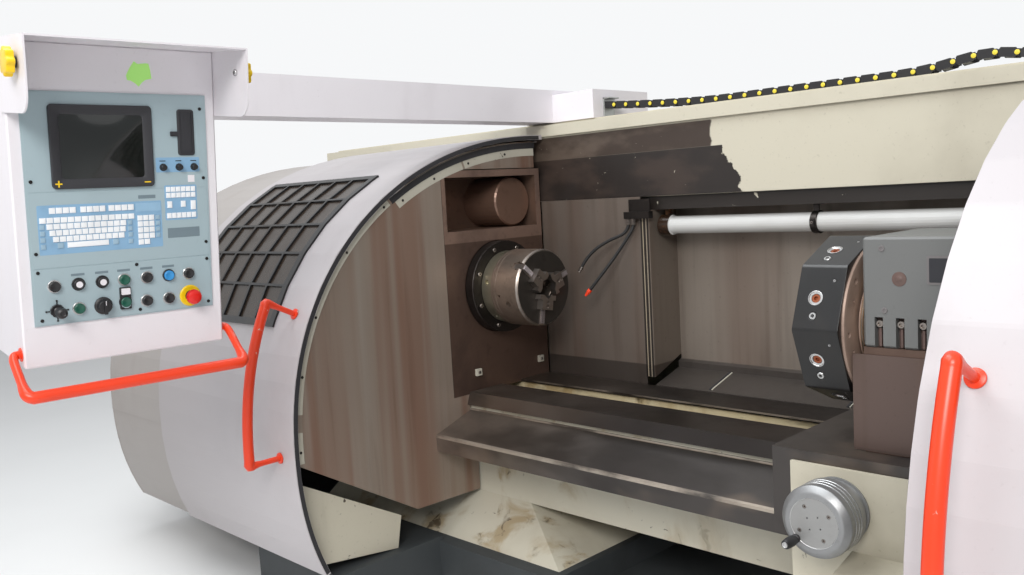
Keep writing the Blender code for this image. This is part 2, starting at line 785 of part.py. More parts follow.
def make_jaw(index, jaw):
    """A tongue that slides in the chuck's slot, with a notched gripping block on it. Drawn along +Y."""
    floor = -SLOT_DEPTH + GAP * 2
    half = JAW_TONGUE / 2
    tongue = solid_box(f"chuck_jaw_{index}", BRIGHT_STEEL, jaw, (floor, TONGUE_INNER, -half),
                       (0.004, JAW_OUTER, half))
    side = [(JAW_INNER, JAW_NOTCH * 1.4), (JAW_INNER, JAW_ARM), (JAW_SHOULDER, JAW_ARM),
            (JAW_SHOULDER, JAW_BODY), (JAW_END, JAW_BODY)]
    outline = [(JAW_INNER + JAW_NOTCH, 0)] + side + [(y, -z) for y, z in reversed(side)]
    block = solid_prism(f"jaw_block_{index}", BRIGHT_STEEL, jaw, outline, "X", GAP, JAW_PROUD)
    join(tongue, block)
    for i, y in enumerate((JAW_SHOULDER + 0.012, JAW_END - 0.012)):
        cut(tongue, solid_turned(
            f"jaw_bolt_hole_{index}_{i}", DARK_STEEL, jaw,
            ((0, JAW_PROUD - 0.012), (0.0075, JAW_PROUD - 0.012), (0.0075, JAW_PROUD + 0.020),
             (0, JAW_PROUD + 0.020)),
            "X", (0, y, 0), 12,
        ))


# Doors and covers


def door_span(side):
    """Low and high X of a door at rest. Side is -1 for the left door and 1 for the right one."""
    if side < 0:
        high = WALL_X + DOOR_LAP
        return high - DOOR_LENGTH, high
    low = RIGHT_X - DOOR_LAP
    return low, low + DOOR_LENGTH


def window_span(side):
    low, high = door_span(side)
    if side < 0:
        return high - WINDOW_MARGIN - WINDOW_LENGTH, high - WINDOW_MARGIN
    return low + WINDOW_MARGIN, low + WINDOW_MARGIN + WINDOW_LENGTH


def window_bars():
    """The angles of the window grid's cross bars: frame, bars and frame, with the laps on the door."""
    first, last = WINDOW_ANGLES
    lap = WINDOW_LAP * PER_METRE
    frame = WINDOW_FRAME * PER_METRE
    return bar_lines(first - lap, last + lap, frame, WINDOW_BAR * PER_METRE, WINDOW_PANES[1])


def door_angles():
    """The angles of the door's facets, from the lower edge to the top, with the window's own lines."""
    first, last = WINDOW_ANGLES
    bars = window_bars()
    below = spread(DOOR_LOW_ANGLE, bars[0], 9)
    above = spread(bars[-1], 90, 7)
    return below + [first] + bars[1:-1] + [last] + above, len(below)


def door_face(angle):
    """(y, z) on the door's flat facet at this angle, and the facet's outward direction."""
    angles, _ = door_angles()
    for low, high in zip(angles, angles[1:]):
        if low <= angle <= high:
            first = Vector(barrel(low))
            second = Vector(barrel(high))
            along = (second - first).normalized()
            share = (angle - low) / (high - low)
            return first.lerp(second, share), Vector((-along.y, along.x))
    return None


def make_door(side, body):
    word = "left" if side < 0 else "right"
    low, high = door_span(side)
    window = window_span(side)
    first, last = WINDOW_ANGLES
    columns, rows = WINDOW_PANES
    bars = window_bars()
    xs = [low, window[0], window[1], high]
    angles, start = door_angles()
    hole = {(1, j) for j in range(start, start + len(bars) - 1)}
    bm = bmesh.new()
    barrel_lattice(bm, xs, angles, 0.0, DOOR_WALL, hole)
    finish(bm, f"{word}_door", DOOR_PAINT, body, smooth=20)

    xs = bar_lines(window[0] - WINDOW_LAP, window[1] + WINDOW_LAP, WINDOW_FRAME, WINDOW_BAR, columns)
    hole = {(2 * i + 1, 2 * j + 1) for i in range(columns) for j in range(rows)}
    bm = bmesh.new()
    barrel_lattice(bm, xs, bars, -WINDOW_PROUD, -GAP * 2, hole)
    finish(bm, f"{word}_window_grid", BLACK_PAINT, body, smooth=20)

    bm = bmesh.new()
    clear = 0.002
    xs = [window[0] + clear, window[1] - clear]
    angles = [first + clear * PER_METRE] + bars[1:-1] + [last - clear * PER_METRE]
    barrel_lattice(bm, xs, angles, -GAP, PANE, set())
    finish(bm, f"{word}_window_pane", CLEAR, body, smooth=20)

    x = high - HANDLE_INSET if side < 0 else low + HANDLE_INSET
    upper, lower = HANDLE_ANGLES
    ends = []
    for angle in (upper, lower):
        foot, out = door_face(angle)
        ends.append([(x, *(foot + out * GAP)), (x, *(foot + out * HANDLE_STAND * 0.55))])
    bar = [(x, *barrel(a, -HANDLE_STAND)) for a in spread(upper, lower, 10)]
    route = ends[0] + bar + list(reversed(ends[1]))
    thin = HANDLE_ARM / HANDLE_TUBE
    radii = [thin, thin] + [1.0] * len(bar) + [thin, thin]
    tube(f"{word}_door_handle", HANDLE_RED, body, route, HANDLE_TUBE / 2, radii, 3)


def bar_lines(low, high, frame, bar, openings):
    """Edges of a frame's bars: frame, opening, bar, opening, and so on to the far frame."""
    lines = [low, low + frame]
    width = (high - low - 2 * frame - bar * (openings - 1)) / openings
    for i in range(openings):
        lines.append(lines[-1] + width)
        lines.append(lines[-1] + (bar if i + 1 < openings else frame))
    return lines


def make_covers(side, machine):
    """The fixed barrel cover that a door slides over, with its end wall, and the wall by the work space."""
    word = "left" if side < 0 else "right"
    inner = WALL_X - SHEET - GAP if side < 0 else RIGHT_X + SHEET + GAP
    outer = LEFT_END if side < 0 else RIGHT_END
    low, high = sorted((inner, outer))
    inset = COVER_INSET
    angles = spread(90, COVER_LOW_ANGLE, BARREL_STEPS)
    bm = bmesh.new()
    barrel_lattice(bm, [low, high], angles, inset, inset + COVER_WALL, set())
    cover = finish(bm, f"{word}_cover", DOOR_PAINT, machine, smooth=20)

    outline = [barrel(a, inset + 0.001) for a in angles + spread(COVER_LOW_ANGLE, CHIN_LOW_ANGLE, 7)[1:]]
    foot = outline[-1][1]
    base = FLOOR + PLINTH_HEIGHT + GAP
    back = BACK_Y - 0.062
    roof = BEAM_BOTTOM - SUB_BEAM_DEPTH - GAP
    outline += [(PLINTH_FRONT + 0.010, foot), (PLINTH_FRONT + 0.010, base), (back, base), (back, roof),
                (BEAM_FRONT - 0.001, roof), (BEAM_FRONT - 0.001, BEAM_TOP - LIP_HEIGHT - 0.010)]
    ends = (outer, outer + 0.010) if side < 0 else (outer - 0.010, outer)
    end = solid_prism(f"{word}_cover_end", DOOR_PAINT, machine, outline, "X", *ends)
    join(cover, end, make_chin(side, machine, outer))

    wall = (WALL_X - SHEET, WALL_X) if side < 0 else (RIGHT_X, RIGHT_X + SHEET)
    panel = solid_prism(f"{word}_guard_panel", STAINED_STEEL, machine, guard_outline(side), "X", *wall)
    if side < 0:
        join(panel, arc_strip(machine))


def make_chin(side, machine, outer):
    """The cover's lower front beyond the door: it follows the barrel down, then runs back under it."""
    arc = spread(COVER_LOW_ANGLE + 1, CHIN_LOW_ANGLE, 7)
    line = [barrel(a, COVER_INSET + COVER_WALL / 2) for a in arc]
    line.append((PLINTH_FRONT + 0.010, line[-1][1]))
    door = door_span(side)[0] - CHIN_CLEAR if side < 0 else door_span(side)[1] + CHIN_CLEAR
    low, high = sorted((outer + math.copysign(0.001, door - outer), door))
    outline = sheet_outline(line, COVER_WALL)
    return solid_prism(f"chin_{2 + side}", DOOR_PAINT, machine, outline, "X", low, high)


def guard_outline(side):
    """The stained sheet beside the work space: its edge follows the barrel, its foot slopes."""
    arc = spread(89.0, COVER_LOW_ANGLE, BARREL_STEPS)
    outline = [barrel(a, COVER_INSET) for a in arc]
    if side > 0:
        return outline + [barrel(a, COVER_INSET + RIGHT_BAND) for a in reversed(arc)]
    seam = BED_FRONT - 0.009
    head = BED_TOP - RAIL_DEPTH
    rail = BED_FRONT - RAIL_OVERHANG - 0.006
    front = HEAD_FRONT - 0.002
    crown = head_top() + HEAD_ROOM
    return outline + [
        (-0.517, -0.834), (seam, -0.840), (seam, head - RAIL_OVERHANG - 0.004), (rail, head - 0.004),
        (rail, BED_TOP), (front, BED_TOP), (front, crown), (outline[0][0], crown),
    ]


def head_top():
    """The headstock's top, just under the strip on the arc at the headstock's front."""
    inset = COVER_INSET + COVER_WALL + ARC_STRIP
    return barrel(barrel_angle(y=HEAD_FRONT, inset=inset), inset)[1] - HEAD_ROOM


def arc_strip(machine):
    """The strip screwed along the arc of the left wall."""
    inset = COVER_INSET + COVER_WALL
    arc = spread(76.0, COVER_LOW_ANGLE, 18)
    outline = [barrel(a, inset) for a in arc]
    outline += [barrel(a, inset + ARC_STRIP) for a in reversed(arc)]
    return solid_prism("arc_strip", CREAM_PAINT, machine, outline, "X", WALL_X - 0.001, WALL_X + SHEET)


def make_skirt(machine):
    """Plate that closes the space under the left door."""
    inset = DOOR_WALL + 0.008
    arc = spread(barrel_angle(z=-0.600, inset=inset), DOOR_LOW_ANGLE, 6)
    outline = [barrel(a, inset) for a in arc]
    outline += [(-0.585, FLOOR + PLINTH_HEIGHT + 0.0155), (-0.560, -0.858)]
    back = WALL_X - 0.055
    solid_prism("left_skirt_plate", CREAM_PAINT, machine, outline, "X", back - 0.005, back)


# Roof, back and lamp


def make_roof(machine):
    """Folded box girder along the back of the roof, with a lip, capped ends and the boom's track."""
    lip = BEAM_TOP - LIP_HEIGHT
    front = BEAM_FRONT - LIP_OVERHANG
    low = BEAM_BOTTOM - SUB_BEAM_DEPTH
    strip_back = SUB_BEAM_FRONT + SUB_BEAM_WIDTH
    line = (
        (BACK_Y, BEAM_TOP), (front, BEAM_TOP), (front, lip), (BEAM_FRONT, lip), (BEAM_FRONT, BEAM_BOTTOM),
        (SUB_BEAM_FRONT, BEAM_BOTTOM), (SUB_BEAM_FRONT, low), (strip_back, low), (strip_back, BEAM_BOTTOM),
        (BACK_Y, BEAM_BOTTOM), (BACK_Y, BEAM_TOP - 0.040),
    )
    outline = sheet_outline(line, BEAM_WALL)
    beam = solid_prism("roof_beam", CREAM_PAINT, machine, outline, "X", LEFT_END, RIGHT_END)
    for i, x in enumerate((LEFT_END, RIGHT_END - BEAM_WALL)):
        join(beam, solid_prism(f"beam_cap_{i + 1}", CREAM_PAINT, machine, line, "X", x, x + BEAM_WALL))
    bm = bmesh.new()
    for y in (BEAM_FRONT + 0.030, BACK_Y - 0.110):
        box(bm, (LEFT_END + 0.05, y, BEAM_TOP - 0.002),
            (RIGHT_END - 0.05, y + 0.050, BEAM_TOP + TRACK_HEIGHT))
    join(beam, finish(bm, "boom_track", BRIGHT_STEEL, machine))

    low = FLOOR + PLINTH_HEIGHT + GAP
    high = BEAM_BOTTOM - GAP
    line = ((BACK_Y - 0.060, low), (BACK_Y, low), (BACK_Y, high), (BACK_Y - 0.060, high))
    solid_prism("rear_cover", CREAM_PAINT, machine, sheet_outline(line, 0.004), "X", LEFT_END + 0.010,
                RIGHT_END - 0.010)


def make_back_walls(machine):
    """Side wall from the headstock to the corner, and the rear wall with its chute and corner post."""
    top = BEAM_BOTTOM - SUB_BEAM_DEPTH - GAP
    solid_box("rear_side_wall", STAINED_STEEL, machine, (WALL_X + GAP, SIDE_WALL_Y, SIDE_WALL_FOOT),
              (CORNER_X, SIDE_WALL_Y + SHEET, BEAM_BOTTOM - GAP))
    chute_low = REAR_WAY[1] + 0.004
    line = (
        (REAR_WALL_Y, top), (REAR_WALL_Y, REAR_WALL_FOOT), (REAR_WALL_Y - 0.022, REAR_WALL_FOOT - 0.010),
        (REAR_WALL_Y - 0.022, REAR_WALL_FOOT - 0.035), (chute_low, WAY_TOP + 0.003),
        (chute_low, BED_TOP - RAIL_DEPTH),
    )
    start = CORNER_X + CORNER_WIDTH + GAP
    outline = sheet_outline(line, SHEET)
    solid_prism("rear_wall", STAINED_STEEL, machine, outline, "X", start, RIGHT_END - 0.012)
    front = SIDE_WALL_Y - POST_PROUD
    back = REAR_WALL_Y + SHEET
    post = ((front, SIDE_WALL_FOOT + 0.060), (back, REAR_WALL_FOOT + 0.020), (back, top), (front, top))
    solid_prism("corner_post", BLACK_PAINT, machine, post, "X", CORNER_X + GAP, CORNER_X + CORNER_WIDTH)


def make_hoses(machine):
    """Bracket on the side wall with two hoses that hang towards the chuck, one with a nozzle."""
    face = SIDE_WALL_Y - POST_PROUD - GAP
    left, right = BRACKET
    bracket = solid_box("hose_bracket", DARK_STEEL, machine, (left, face - 0.028, 0.258),
                        (right, face, 0.286))
    join(bracket, solid_box("bracket_plate", DARK_STEEL, machine, (left + 0.010, face - 0.006, 0.280),
                            (right - 0.010, face, 0.335)))
    y = face - 0.014
    start = 0.258 - GAP
    front = ((0.262, y, start), (0.262, y, start - 0.020), (0.252, y - 0.006, 0.205),
             (0.195, 0.235, 0.115), (0.130, 0.195, 0.020), (0.094, 0.180, -0.026))
    tube("hose_front", RUBBER, machine, smooth_route(front, 0.020), HOSE_RADIUS)
    rear = [(0.238 - 0.934 * away, y - 0.358 * away, start - fall) for away, fall in REAR_HOSE_FALL]
    tube("hose_rear", RUBBER, machine, smooth_route(rear, 0.020), HOSE_RADIUS)
    end = Vector(front[-1])
    way = (end - Vector(front[-2])).normalized()
    nozzle = solid_turned(
        "coolant_nozzle", HANDLE_RED, machine,
        ((0, GAP * 2), (0.0095, GAP * 2), (0.0095, 0.016), (0.005, 0.034), (0, 0.034)), "Z", (0, 0, 0), 16,
    )
    nozzle.location = end
    nozzle.rotation_euler = way.to_track_quat("Z", "Y").to_euler()


def make_lamp(machine):
    start = CORNER_X + CORNER_WIDTH + 0.010
    end = start + LAMP_LENGTH
    cap = LAMP_RADIUS + 0.006
    profile = (
        (0, start), (cap, start), (cap, start + 0.050), (LAMP_RADIUS, start + 0.052),
        (LAMP_RADIUS, end - 0.052), (cap, end - 0.050), (cap, end), (0, end),
    )
    lamp = solid_turned("lamp_tube", LAMP_WHITE, machine, profile, "X", (0, LAMP_Y, LAMP_Z), 24)
    top = BEAM_BOTTOM - SUB_BEAM_DEPTH - GAP
    for i, x in enumerate((start + 0.020, end - 0.040)):
        join(lamp, solid_box(f"lamp_bracket_{i + 1}", DARK_STEEL, machine, (x, LAMP_Y - 0.010, LAMP_Z),
                             (x + 0.020, LAMP_Y + 0.010, top)))


# Carriage and turret


def make_carriage(carriage):
    """Saddle over both ways, with its front plate, and the apron below it."""
    low = WAY_TOP + GAP
    ledge = LEDGE_FRONT - 0.004
    outline = (
        (SADDLE_FRONT, APRON_STEP_TOP), (ledge, APRON_STEP_TOP), (ledge, low), (SADDLE_BACK, low),
        (SADDLE_BACK, SADDLE_TOP), (SADDLE_FRONT, SADDLE_TOP),
    )
    solid_prism("carriage_saddle", DARK_STEEL, carriage, outline, "X", 0, CARRIAGE_LENGTH)
    plate = SADDLE_FRONT - GAP
    top = APRON_STEP_TOP
    outline = (
        (plate, SADDLE_TOP - 0.030), (plate - 0.012, SADDLE_TOP - 0.030), (plate - 0.012, top),
        (APRON_STEP_FRONT, top - 0.030), (APRON_STEP_FRONT, APRON_BOTTOM), (plate, APRON_BOTTOM),
    )
    apron = solid_prism("apron", CREAM_PAINT, carriage, outline, "X", 0.060, CARRIAGE_LENGTH)
    notch = solid_box("apron_notch", CREAM_PAINT, carriage,
                      (0.0, APRON_STEP_FRONT - 0.05, APRON_BOTTOM - 0.05),
                      (APRON_STEP_X, plate - 0.013, SADDLE_TOP))
    cut(apron, notch)


def make_cross_slide(slide):
    """Slide block with a stained sheet in front, and the grey turret housing on it."""
    low = SADDLE_TOP + GAP
    outline = (
        (SLIDE_FRONT, low), (SLIDE_BACK, low), (SLIDE_BACK, HOUSING_BOTTOM - 0.030),
        (HOUSING_BACK, HOUSING_BOTTOM - GAP), (SLIDE_FRONT, HOUSING_BOTTOM - GAP),
    )
    solid_prism("cross_slide", STAINED_STEEL, slide, outline, "X", SLIDE_X, SLIDE_X + SLIDE_LENGTH)
    cover = SLIDE_FRONT - GAP
    solid_box("slide_cover", STAINED_STEEL, slide, (SLIDE_X - 0.030, cover - SHEET, low + 0.003),
              (SLIDE_X + SLIDE_LENGTH, cover, HOUSING_BOTTOM - 0.020))
    housing = solid_box("turret_housing", GREY_PAINT, slide, (HOUSING_X, SLIDE_FRONT, HOUSING_BOTTOM),
                        (HOUSING_X + HOUSING_LENGTH, HOUSING_BACK, HOUSING_TOP))
    bevel = housing.modifiers.new("soft_edges", "BEVEL")
    bevel.width = 0.006
    bevel.segments = 1
    bm = bmesh.new()
    pitch = 0.055
    for i in range(HOUSING_BOLTS):
        x = HOUSING_X + 0.030 + pitch * i
        box(bm, (x, SLIDE_FRONT - 0.02, HOUSING_BOTTOM - 0.02),
            (x + BOLT_SLOT, SLIDE_FRONT + 0.022, HOUSING_BOTTOM + BOLT_SLOT_HEIGHT))
    slots = finish(bm, "bolt_slots", GREY_PAINT, slide)
    cut(housing, slots)
    ring_start = TURRET_X + TURRET_WIDTH + 0.014
    ring_end = HOUSING_X - GAP
    inner = 0.052
    profile = ((inner, ring_start), (INDEX_RING_RADIUS, ring_start), (INDEX_RING_RADIUS, ring_end),
               (inner, ring_end))
    solid_turned("index_ring", BRASS, slide, profile, "X", (0, TURRET_Y, TURRET_Z), 32)


def make_turret(turret):
    """Eight-sided drum: each flat has a tool bore and a clamp screw, and a shaft runs into the ring."""
    radius = TURRET_RADIUS
    bm = bmesh.new()
    outline = []
    for i in range(STATIONS):
        turn = 2 * math.pi * i / STATIONS
        outline.append((radius * math.cos(turn), radius * math.sin(turn)))
    prism(bm, outline, "X", 0, TURRET_WIDTH)
    drum = finish(bm, "turret_drum", BLACK_PAINT, turret)
    bevel = drum.modifiers.new("soft_edges", "BEVEL")
    bevel.width = 0.006
    bevel.segments = 1
    flange = solid_turned(
        "turret_flange", BRIGHT_STEEL, turret,
        ((0, TURRET_WIDTH - 0.01), (radius * 0.90, TURRET_WIDTH - 0.01),
         (radius * 0.90, TURRET_WIDTH + 0.010), (0.050, TURRET_WIDTH + 0.010),
         (0.050, HOUSING_X - TURRET_X - GAP * 2),
         (0, HOUSING_X - TURRET_X - GAP * 2)),
        "X", (0, 0, 0), 32,
    )
    join(drum, flange)
    flat = radius * math.cos(math.pi / STATIONS)
    bm = bmesh.new()
    for i in range(STATIONS):
        turn = 2 * math.pi * (i + 0.5) / STATIONS
        spin = Matrix.Rotation(turn, 4, "X")
        for shift, hole, depth in ((0.0, STATION_BORE, STATION_DEPTH), (0.050, STATION_SCREW, 0.012)):
            before = set(bm.verts)
            turned(bm, ((0, flat - depth), (hole, flat - depth), (hole, flat + 0.05), (0, flat + 0.05)),
                   "Y", (TURRET_WIDTH * 0.42, 0, shift), 12 if shift == 0 else 6)
            made = [v for v in bm.verts if v not in before]
            bmesh.ops.transform(bm, matrix=spin, verts=made)
    bores = finish(bm, "station_bores", BLACK_PAINT, turret)
    cut(drum, bores)


def make_handwheel(wheel, grip):
    """Round electronic handwheel with grooves, and a crank grip on its face. Its axis runs along Y."""
    r = WHEEL_RADIUS
    depth = WHEEL_LENGTH
    profile = [(0, 0), (r * 0.86, 0), (r * 0.86, -depth * 0.30)]
    profile.append((r, -depth * 0.32))
    for i in range(3):
        y = -depth * (0.50 + 0.12 * i)
        profile += [(r, y), (r - 0.004, y - 0.0035), (r, y - 0.007)]
    profile += [(r, -depth + 0.008), (r - 0.008, -depth), (0, -depth)]
    solid_turned("handwheel", GREY_PAINT, wheel, profile, "Y", (0, 0, 0), 24)
    start = 0
    profile = ((0, start), (0.008, start), (0.008, -0.012), (GRIP_RADIUS, -0.014),
               (GRIP_RADIUS * 0.9, -GRIP_LENGTH), (0, -GRIP_LENGTH - 0.004))
    solid_turned("handwheel_grip", BLACK_PAINT, grip, profile, "Y", (0, 0, 0), 16)


# Boom and console


def make_boom(boom):
    low = BEAM_TOP + TRACK_HEIGHT + GAP
    half = BOOM_WIDTH / 2
    beam = solid_box("boom", DOOR_PAINT, boom, (-half, BOOM_FRONT, low), (half, BOOM_BACK, low + BOOM_HEIGHT))
    base = solid_box("boom_base", DOOR_PAINT, boom, (-half - 0.020, BEAM_FRONT + 0.020, low),
                     (CHAIN_START - GAP, BOOM_BACK - 0.040, low + BOOM_HEIGHT * 0.85))
    return join(beam, base)


def chain_height(x):
    """Height of the chain's middle line: it sags from the boom to the roof and has one hump."""
    rest = BEAM_TOP + TRACK_HEIGHT + CHAIN_THICKNESS / 2 + 0.002
    drop = 0.038 * max(0.0, 1 - (x - CHAIN_START) / 0.60) ** 1.5
    hump = 0.030 * math.exp(-(((x - 1.820) / 0.140) ** 2))
    return rest + drop + hump


def make_chain(boom):
    """Energy chain, as one body that follows the boom: wide link plates with waists between them."""
    top = []
    bottom = []
    links = round((CHAIN_END - CHAIN_START) / CHAIN_LINK)
    half = CHAIN_THICKNESS / 2
    for i in range(links):
        x = CHAIN_START + CHAIN_LINK * i
        for along, reach in ((0.0, half), (0.86, half), (0.93, half - 0.004)):
            place = x + CHAIN_LINK * along
            middle = chain_height(place)
            top.append((place, middle + reach))
            bottom.append((place, middle - reach))
    outline = bottom + list(reversed(top))
    solid_prism("energy_chain", BLACK_PAINT, boom, outline, "Y", CHAIN_FRONT, CHAIN_FRONT + CHAIN_WIDTH)


def make_hanger(hanger, pivot):
    """Swivel post under the boom's end, with an arm and a round barrel that the console tilts on."""
    top = BEAM_TOP + TRACK_HEIGHT
    post = solid_turned("console_hanger", DOOR_PAINT, hanger,
                        ((0, POST_BOTTOM), (POST_RADIUS, POST_BOTTOM), (POST_RADIUS, top), (0, top)),
                        "Z", (0, 0, 0), 24)
    x, y, z = pivot
    arm = solid_box("hanger_arm", DOOR_PAINT, hanger, (x - 0.020, y, z - 0.020), (x + 0.020, 0, z + 0.020))
    half = PIVOT_LENGTH / 2
    reach = half + 0.020
    pin = ((0, -reach), (PIVOT_RADIUS, -reach), (PIVOT_RADIUS, -half), (PIVOT_BARREL, -half),
           (PIVOT_BARREL, half), (PIVOT_RADIUS, half), (PIVOT_RADIUS, reach), (0, reach))
    barrel_part = solid_turned("hanger_barrel", DOOR_PAINT, hanger, pin, "X", pivot, 24)
    return join(post, arm, barrel_part)


def round_button(bm, u, v, radius, proud, steps=10, start=0.001):
    """A button's closed cylinder, standing out of the console's face."""
    profile = ((0, start), (radius, start), (radius, -proud), (0, -proud))
    turned(bm, profile, "Y", (u, 0, v), steps)


def make_console(face):
    """Sheet case with a visor, and its face panel. Local X right, Z up, the front towards -Y."""
    half = PANEL[0] / 2 + CASE_MARGIN
    low = -PANEL[1] / 2 - CASE_FOOT
    high = PANEL[1] / 2 + CASE_HEAD
    front = PANEL_THICKNESS
    case = solid_box("console_case", CONSOLE_WHITE, face, (-half, front, low), (half, CASE_DEPTH, high))
    bevel = case.modifiers.new("soft_edges", "BEVEL")
    bevel.width = 0.004
    bevel.segments = 1
    rim = 0.012
    mouth = solid_box("case_mouth", CONSOLE_WHITE, face,
                      (-PANEL[0] / 2 + rim, front - 0.01, -PANEL[1] / 2 + rim),
                      (PANEL[0] / 2 - rim, front + 0.02, PANEL[1] / 2 - rim))
    hollow = solid_box("case_hollow", CONSOLE_WHITE, face,
                       (-half + CASE_WALL, front + CASE_WALL, low + CASE_WALL),
                       (half - CASE_WALL, CASE_DEPTH - CASE_WALL, high - CASE_WALL))
    join(case, make_visor(face, half, high))
    cut(case, hollow, mouth)
    for side in (-1, 1):
        inner = PIVOT_LENGTH / 2 + 0.001
        start, end = sorted((side * inner, side * (inner + 0.014)))
        lug = solid_prism(
            f"tilt_lug_{2 + side}", CONSOLE_WHITE, face,
            [(CASE_DEPTH - 0.0025, -0.050)]
            + [(PIVOT_BACK + 0.026 * math.cos(a), 0.026 * math.sin(a)) for a in
               [math.radians(t) for t in spread(-80, 80, 8)]]
            + [(CASE_DEPTH - 0.0025, 0.050)],
            "X", start, end,
        )
        bore = PIVOT_RADIUS + 0.0008
        hole = solid_turned(f"tilt_bore_{2 + side}", DARK_STEEL, face,
                            ((0, start - 0.004), (bore, start - 0.004), (bore, end + 0.004),
                             (0, end + 0.004)),
                            "X", (0, PIVOT_BACK, 0), 24)
        cut(lug, hole)
        join(case, lug)

    panel = solid_box("console_panel", PANEL_BLUE, face, (-PANEL[0] / 2, 0, -PANEL[1] / 2),
                      (PANEL[0] / 2, PANEL_THICKNESS - GAP, PANEL[1] / 2))
    bm = bmesh.new()
    for u in UPPER_BUTTONS:
        round_button(bm, u, BUTTON_ROW, BUTTON_RADIUS, BUTTON_PROUD)
    for u in LOWER_BUTTONS:
        round_button(bm, u, LOWER_ROW, BUTTON_RADIUS, BUTTON_PROUD)
    for u in SMALL_KNOBS:
        round_button(bm, u, SMALL_KNOB_ROW, 0.007, 0.012)
    round_button(bm, JOYSTICK_PLACE, LOWER_ROW, 0.016, 0.004)
    profile = ((0, 0.001), (STOP_RADIUS + 0.004, 0.001), (STOP_RADIUS + 0.004, -0.005), (0.012, -0.005),
               (0.012, -0.014), (0.009, -0.014), (0.009, -0.004), (0, -0.004))
    turned(bm, profile, "Y", (STOP_PLACE, 0, LOWER_ROW), 16)
    join(panel, finish(bm, "push_buttons", BLACK_PAINT, face, smooth=35))
    slot = solid_box("drive_slot", BLACK_PAINT, face, (SLOT[0], -0.01, SLOT[2]), (SLOT[1], 0.0025, SLOT[3]))
    cut(panel, slot)

    left, right, bottom, top = SCREEN
    screen = solid_box("screen", BLACK_PAINT, face, (left, -SCREEN_PROUD, bottom), (right, -GAP, top))
    rim = SCREEN_FRAME
    glass = solid_box("screen_recess", BLACK_PAINT, face, (left + rim, -SCREEN_PROUD - 0.01, bottom + rim),
                      (right - rim, -SCREEN_PROUD + 0.004, top - rim))
    cut(screen, glass)

    side = half + GAP
    reach = half + 0.022
    route = ((-side, 0.030, -0.352), (-reach + 0.006, 0.030, -0.352), (-reach, 0.018, -0.358),
             (-reach, -GRAB_FORWARD + 0.020, GRAB_HEIGHT + 0.014),
             (-reach + 0.012, -GRAB_FORWARD, GRAB_HEIGHT))
    other = [(-u, y, v) for u, y, v in reversed(route)]
    tube("console_handle", HANDLE_RED, face, list(route) + other, GRAB_TUBE / 2,
         [0.7, 0.7, 0.7, 0.85, 1.0, 1.0, 0.85, 0.7, 0.7, 0.7], 3)


def make_visor(face, half, high):
    """Top plate with two cheeks that wrap the case's sides, their lower front corners rounded."""
    outer = VISOR_SHEET - 0.0005
    bottom = high - VISOR_DROP
    outline = (
        (-half - outer, bottom), (-half - outer, high + outer), (half + outer, high + outer),
        (half + outer, bottom), (half - 0.0005, bottom), (half - 0.0005, high - 0.0005),
        (-half + 0.0005, high - 0.0005), (-half + 0.0005, bottom),
    )
    visor = solid_prism("console_visor", CONSOLE_WHITE, face, outline, "Y", -VISOR_DEPTH, 0.030)
    r = VISOR_CORNER
    middle = (-VISOR_DEPTH + r, bottom + r)
    corner = [(-VISOR_DEPTH - 0.01, bottom - 0.01), (middle[0], bottom - 0.01)]
    corner += [(middle[0] - r * math.sin(a), middle[1] - r * math.cos(a))
               for a in [math.radians(t) for t in spread(0, 90, 6)]]
    corner += [(-VISOR_DEPTH - 0.01, middle[1])]
    cut(visor, solid_prism("visor_corner", CONSOLE_WHITE, face, corner, "X", -half - 0.05, half + 0.05))
    return visor


def make_controls(face):
    """The console's own moving pieces, each under an empty on its axis."""
    half = PANEL[0] / 2 + CASE_MARGIN + VISOR_SHEET
    for word, side in (("left", -1), ("right", 1)):
        knob = empty(f"{word}_knob_axis", face, (side * half, -KNOB_FORWARD, KNOB_HEIGHT))
        lobes = []
        for i in range(32):
            turn = 2 * math.pi * i / 32
            radius = KNOB_RADIUS * (1 + 0.09 * math.cos(8 * turn))
            lobes.append((radius * math.cos(turn), radius * math.sin(turn)))
        start, end = sorted((side * 0.008, side * KNOB_LENGTH))
        bm = bmesh.new()
        prism(bm, lobes, "X", start, end)
        star = finish(bm, f"{word}_knob", KNOB_YELLOW, knob)
        first, second = sorted((side * GAP, side * 0.012))
        hub = solid_turned(f"{word}_knob_hub", KNOB_YELLOW, knob,
                           ((0, first), (0.013, first), (0.013, second), (0, second)), "X", (0, 0, 0), 16)
        join(star, hub)

    stop = empty("e_stop_axis", face, (STOP_PLACE, 0, LOWER_ROW))
    r = STOP_RADIUS
    profile = ((0, -0.0105), (0.008, -0.0105), (0.008, -0.022), (r, -0.022), (r, -0.030),
               (r * 0.8, -0.036), (0, -0.038))
    solid_turned("e_stop", STOP_RED, stop, profile, "Y", (0, 0, 0), 16)

    dial = empty("override_axis", face, (DIAL_PLACE, 0, LOWER_ROW))
    r = DIAL_RADIUS
    profile = ((0, -GAP), (r, -GAP), (r, -0.006), (r * 0.78, -0.008), (r * 0.72, -0.020), (0, -0.021))
    knob = solid_turned("override_dial", BLACK_PAINT, dial, profile, "Y", (0, 0, 0), 20)
    wing = solid_box("dial_wing", BLACK_PAINT, dial, (-0.004, -0.025, -r * 0.9), (0.004, -0.010, r * 0.7))
    join(knob, wing)

    stick = empty("joystick_axis", face, (JOYSTICK_PLACE, -0.004 - GAP, LOWER_ROW))
    r = JOYSTICK_RADIUS
    profile = ((0, 0.0), (0.010, -0.004), (0.005, -0.012), (0.005, -0.020), (r * 0.8, -0.024),
               (r, -0.032), (r * 0.8, -0.044), (0, -0.045))
    solid_turned("joystick", BLACK_PAINT, stick, profile, "Y", (0, 0, 0), 16)


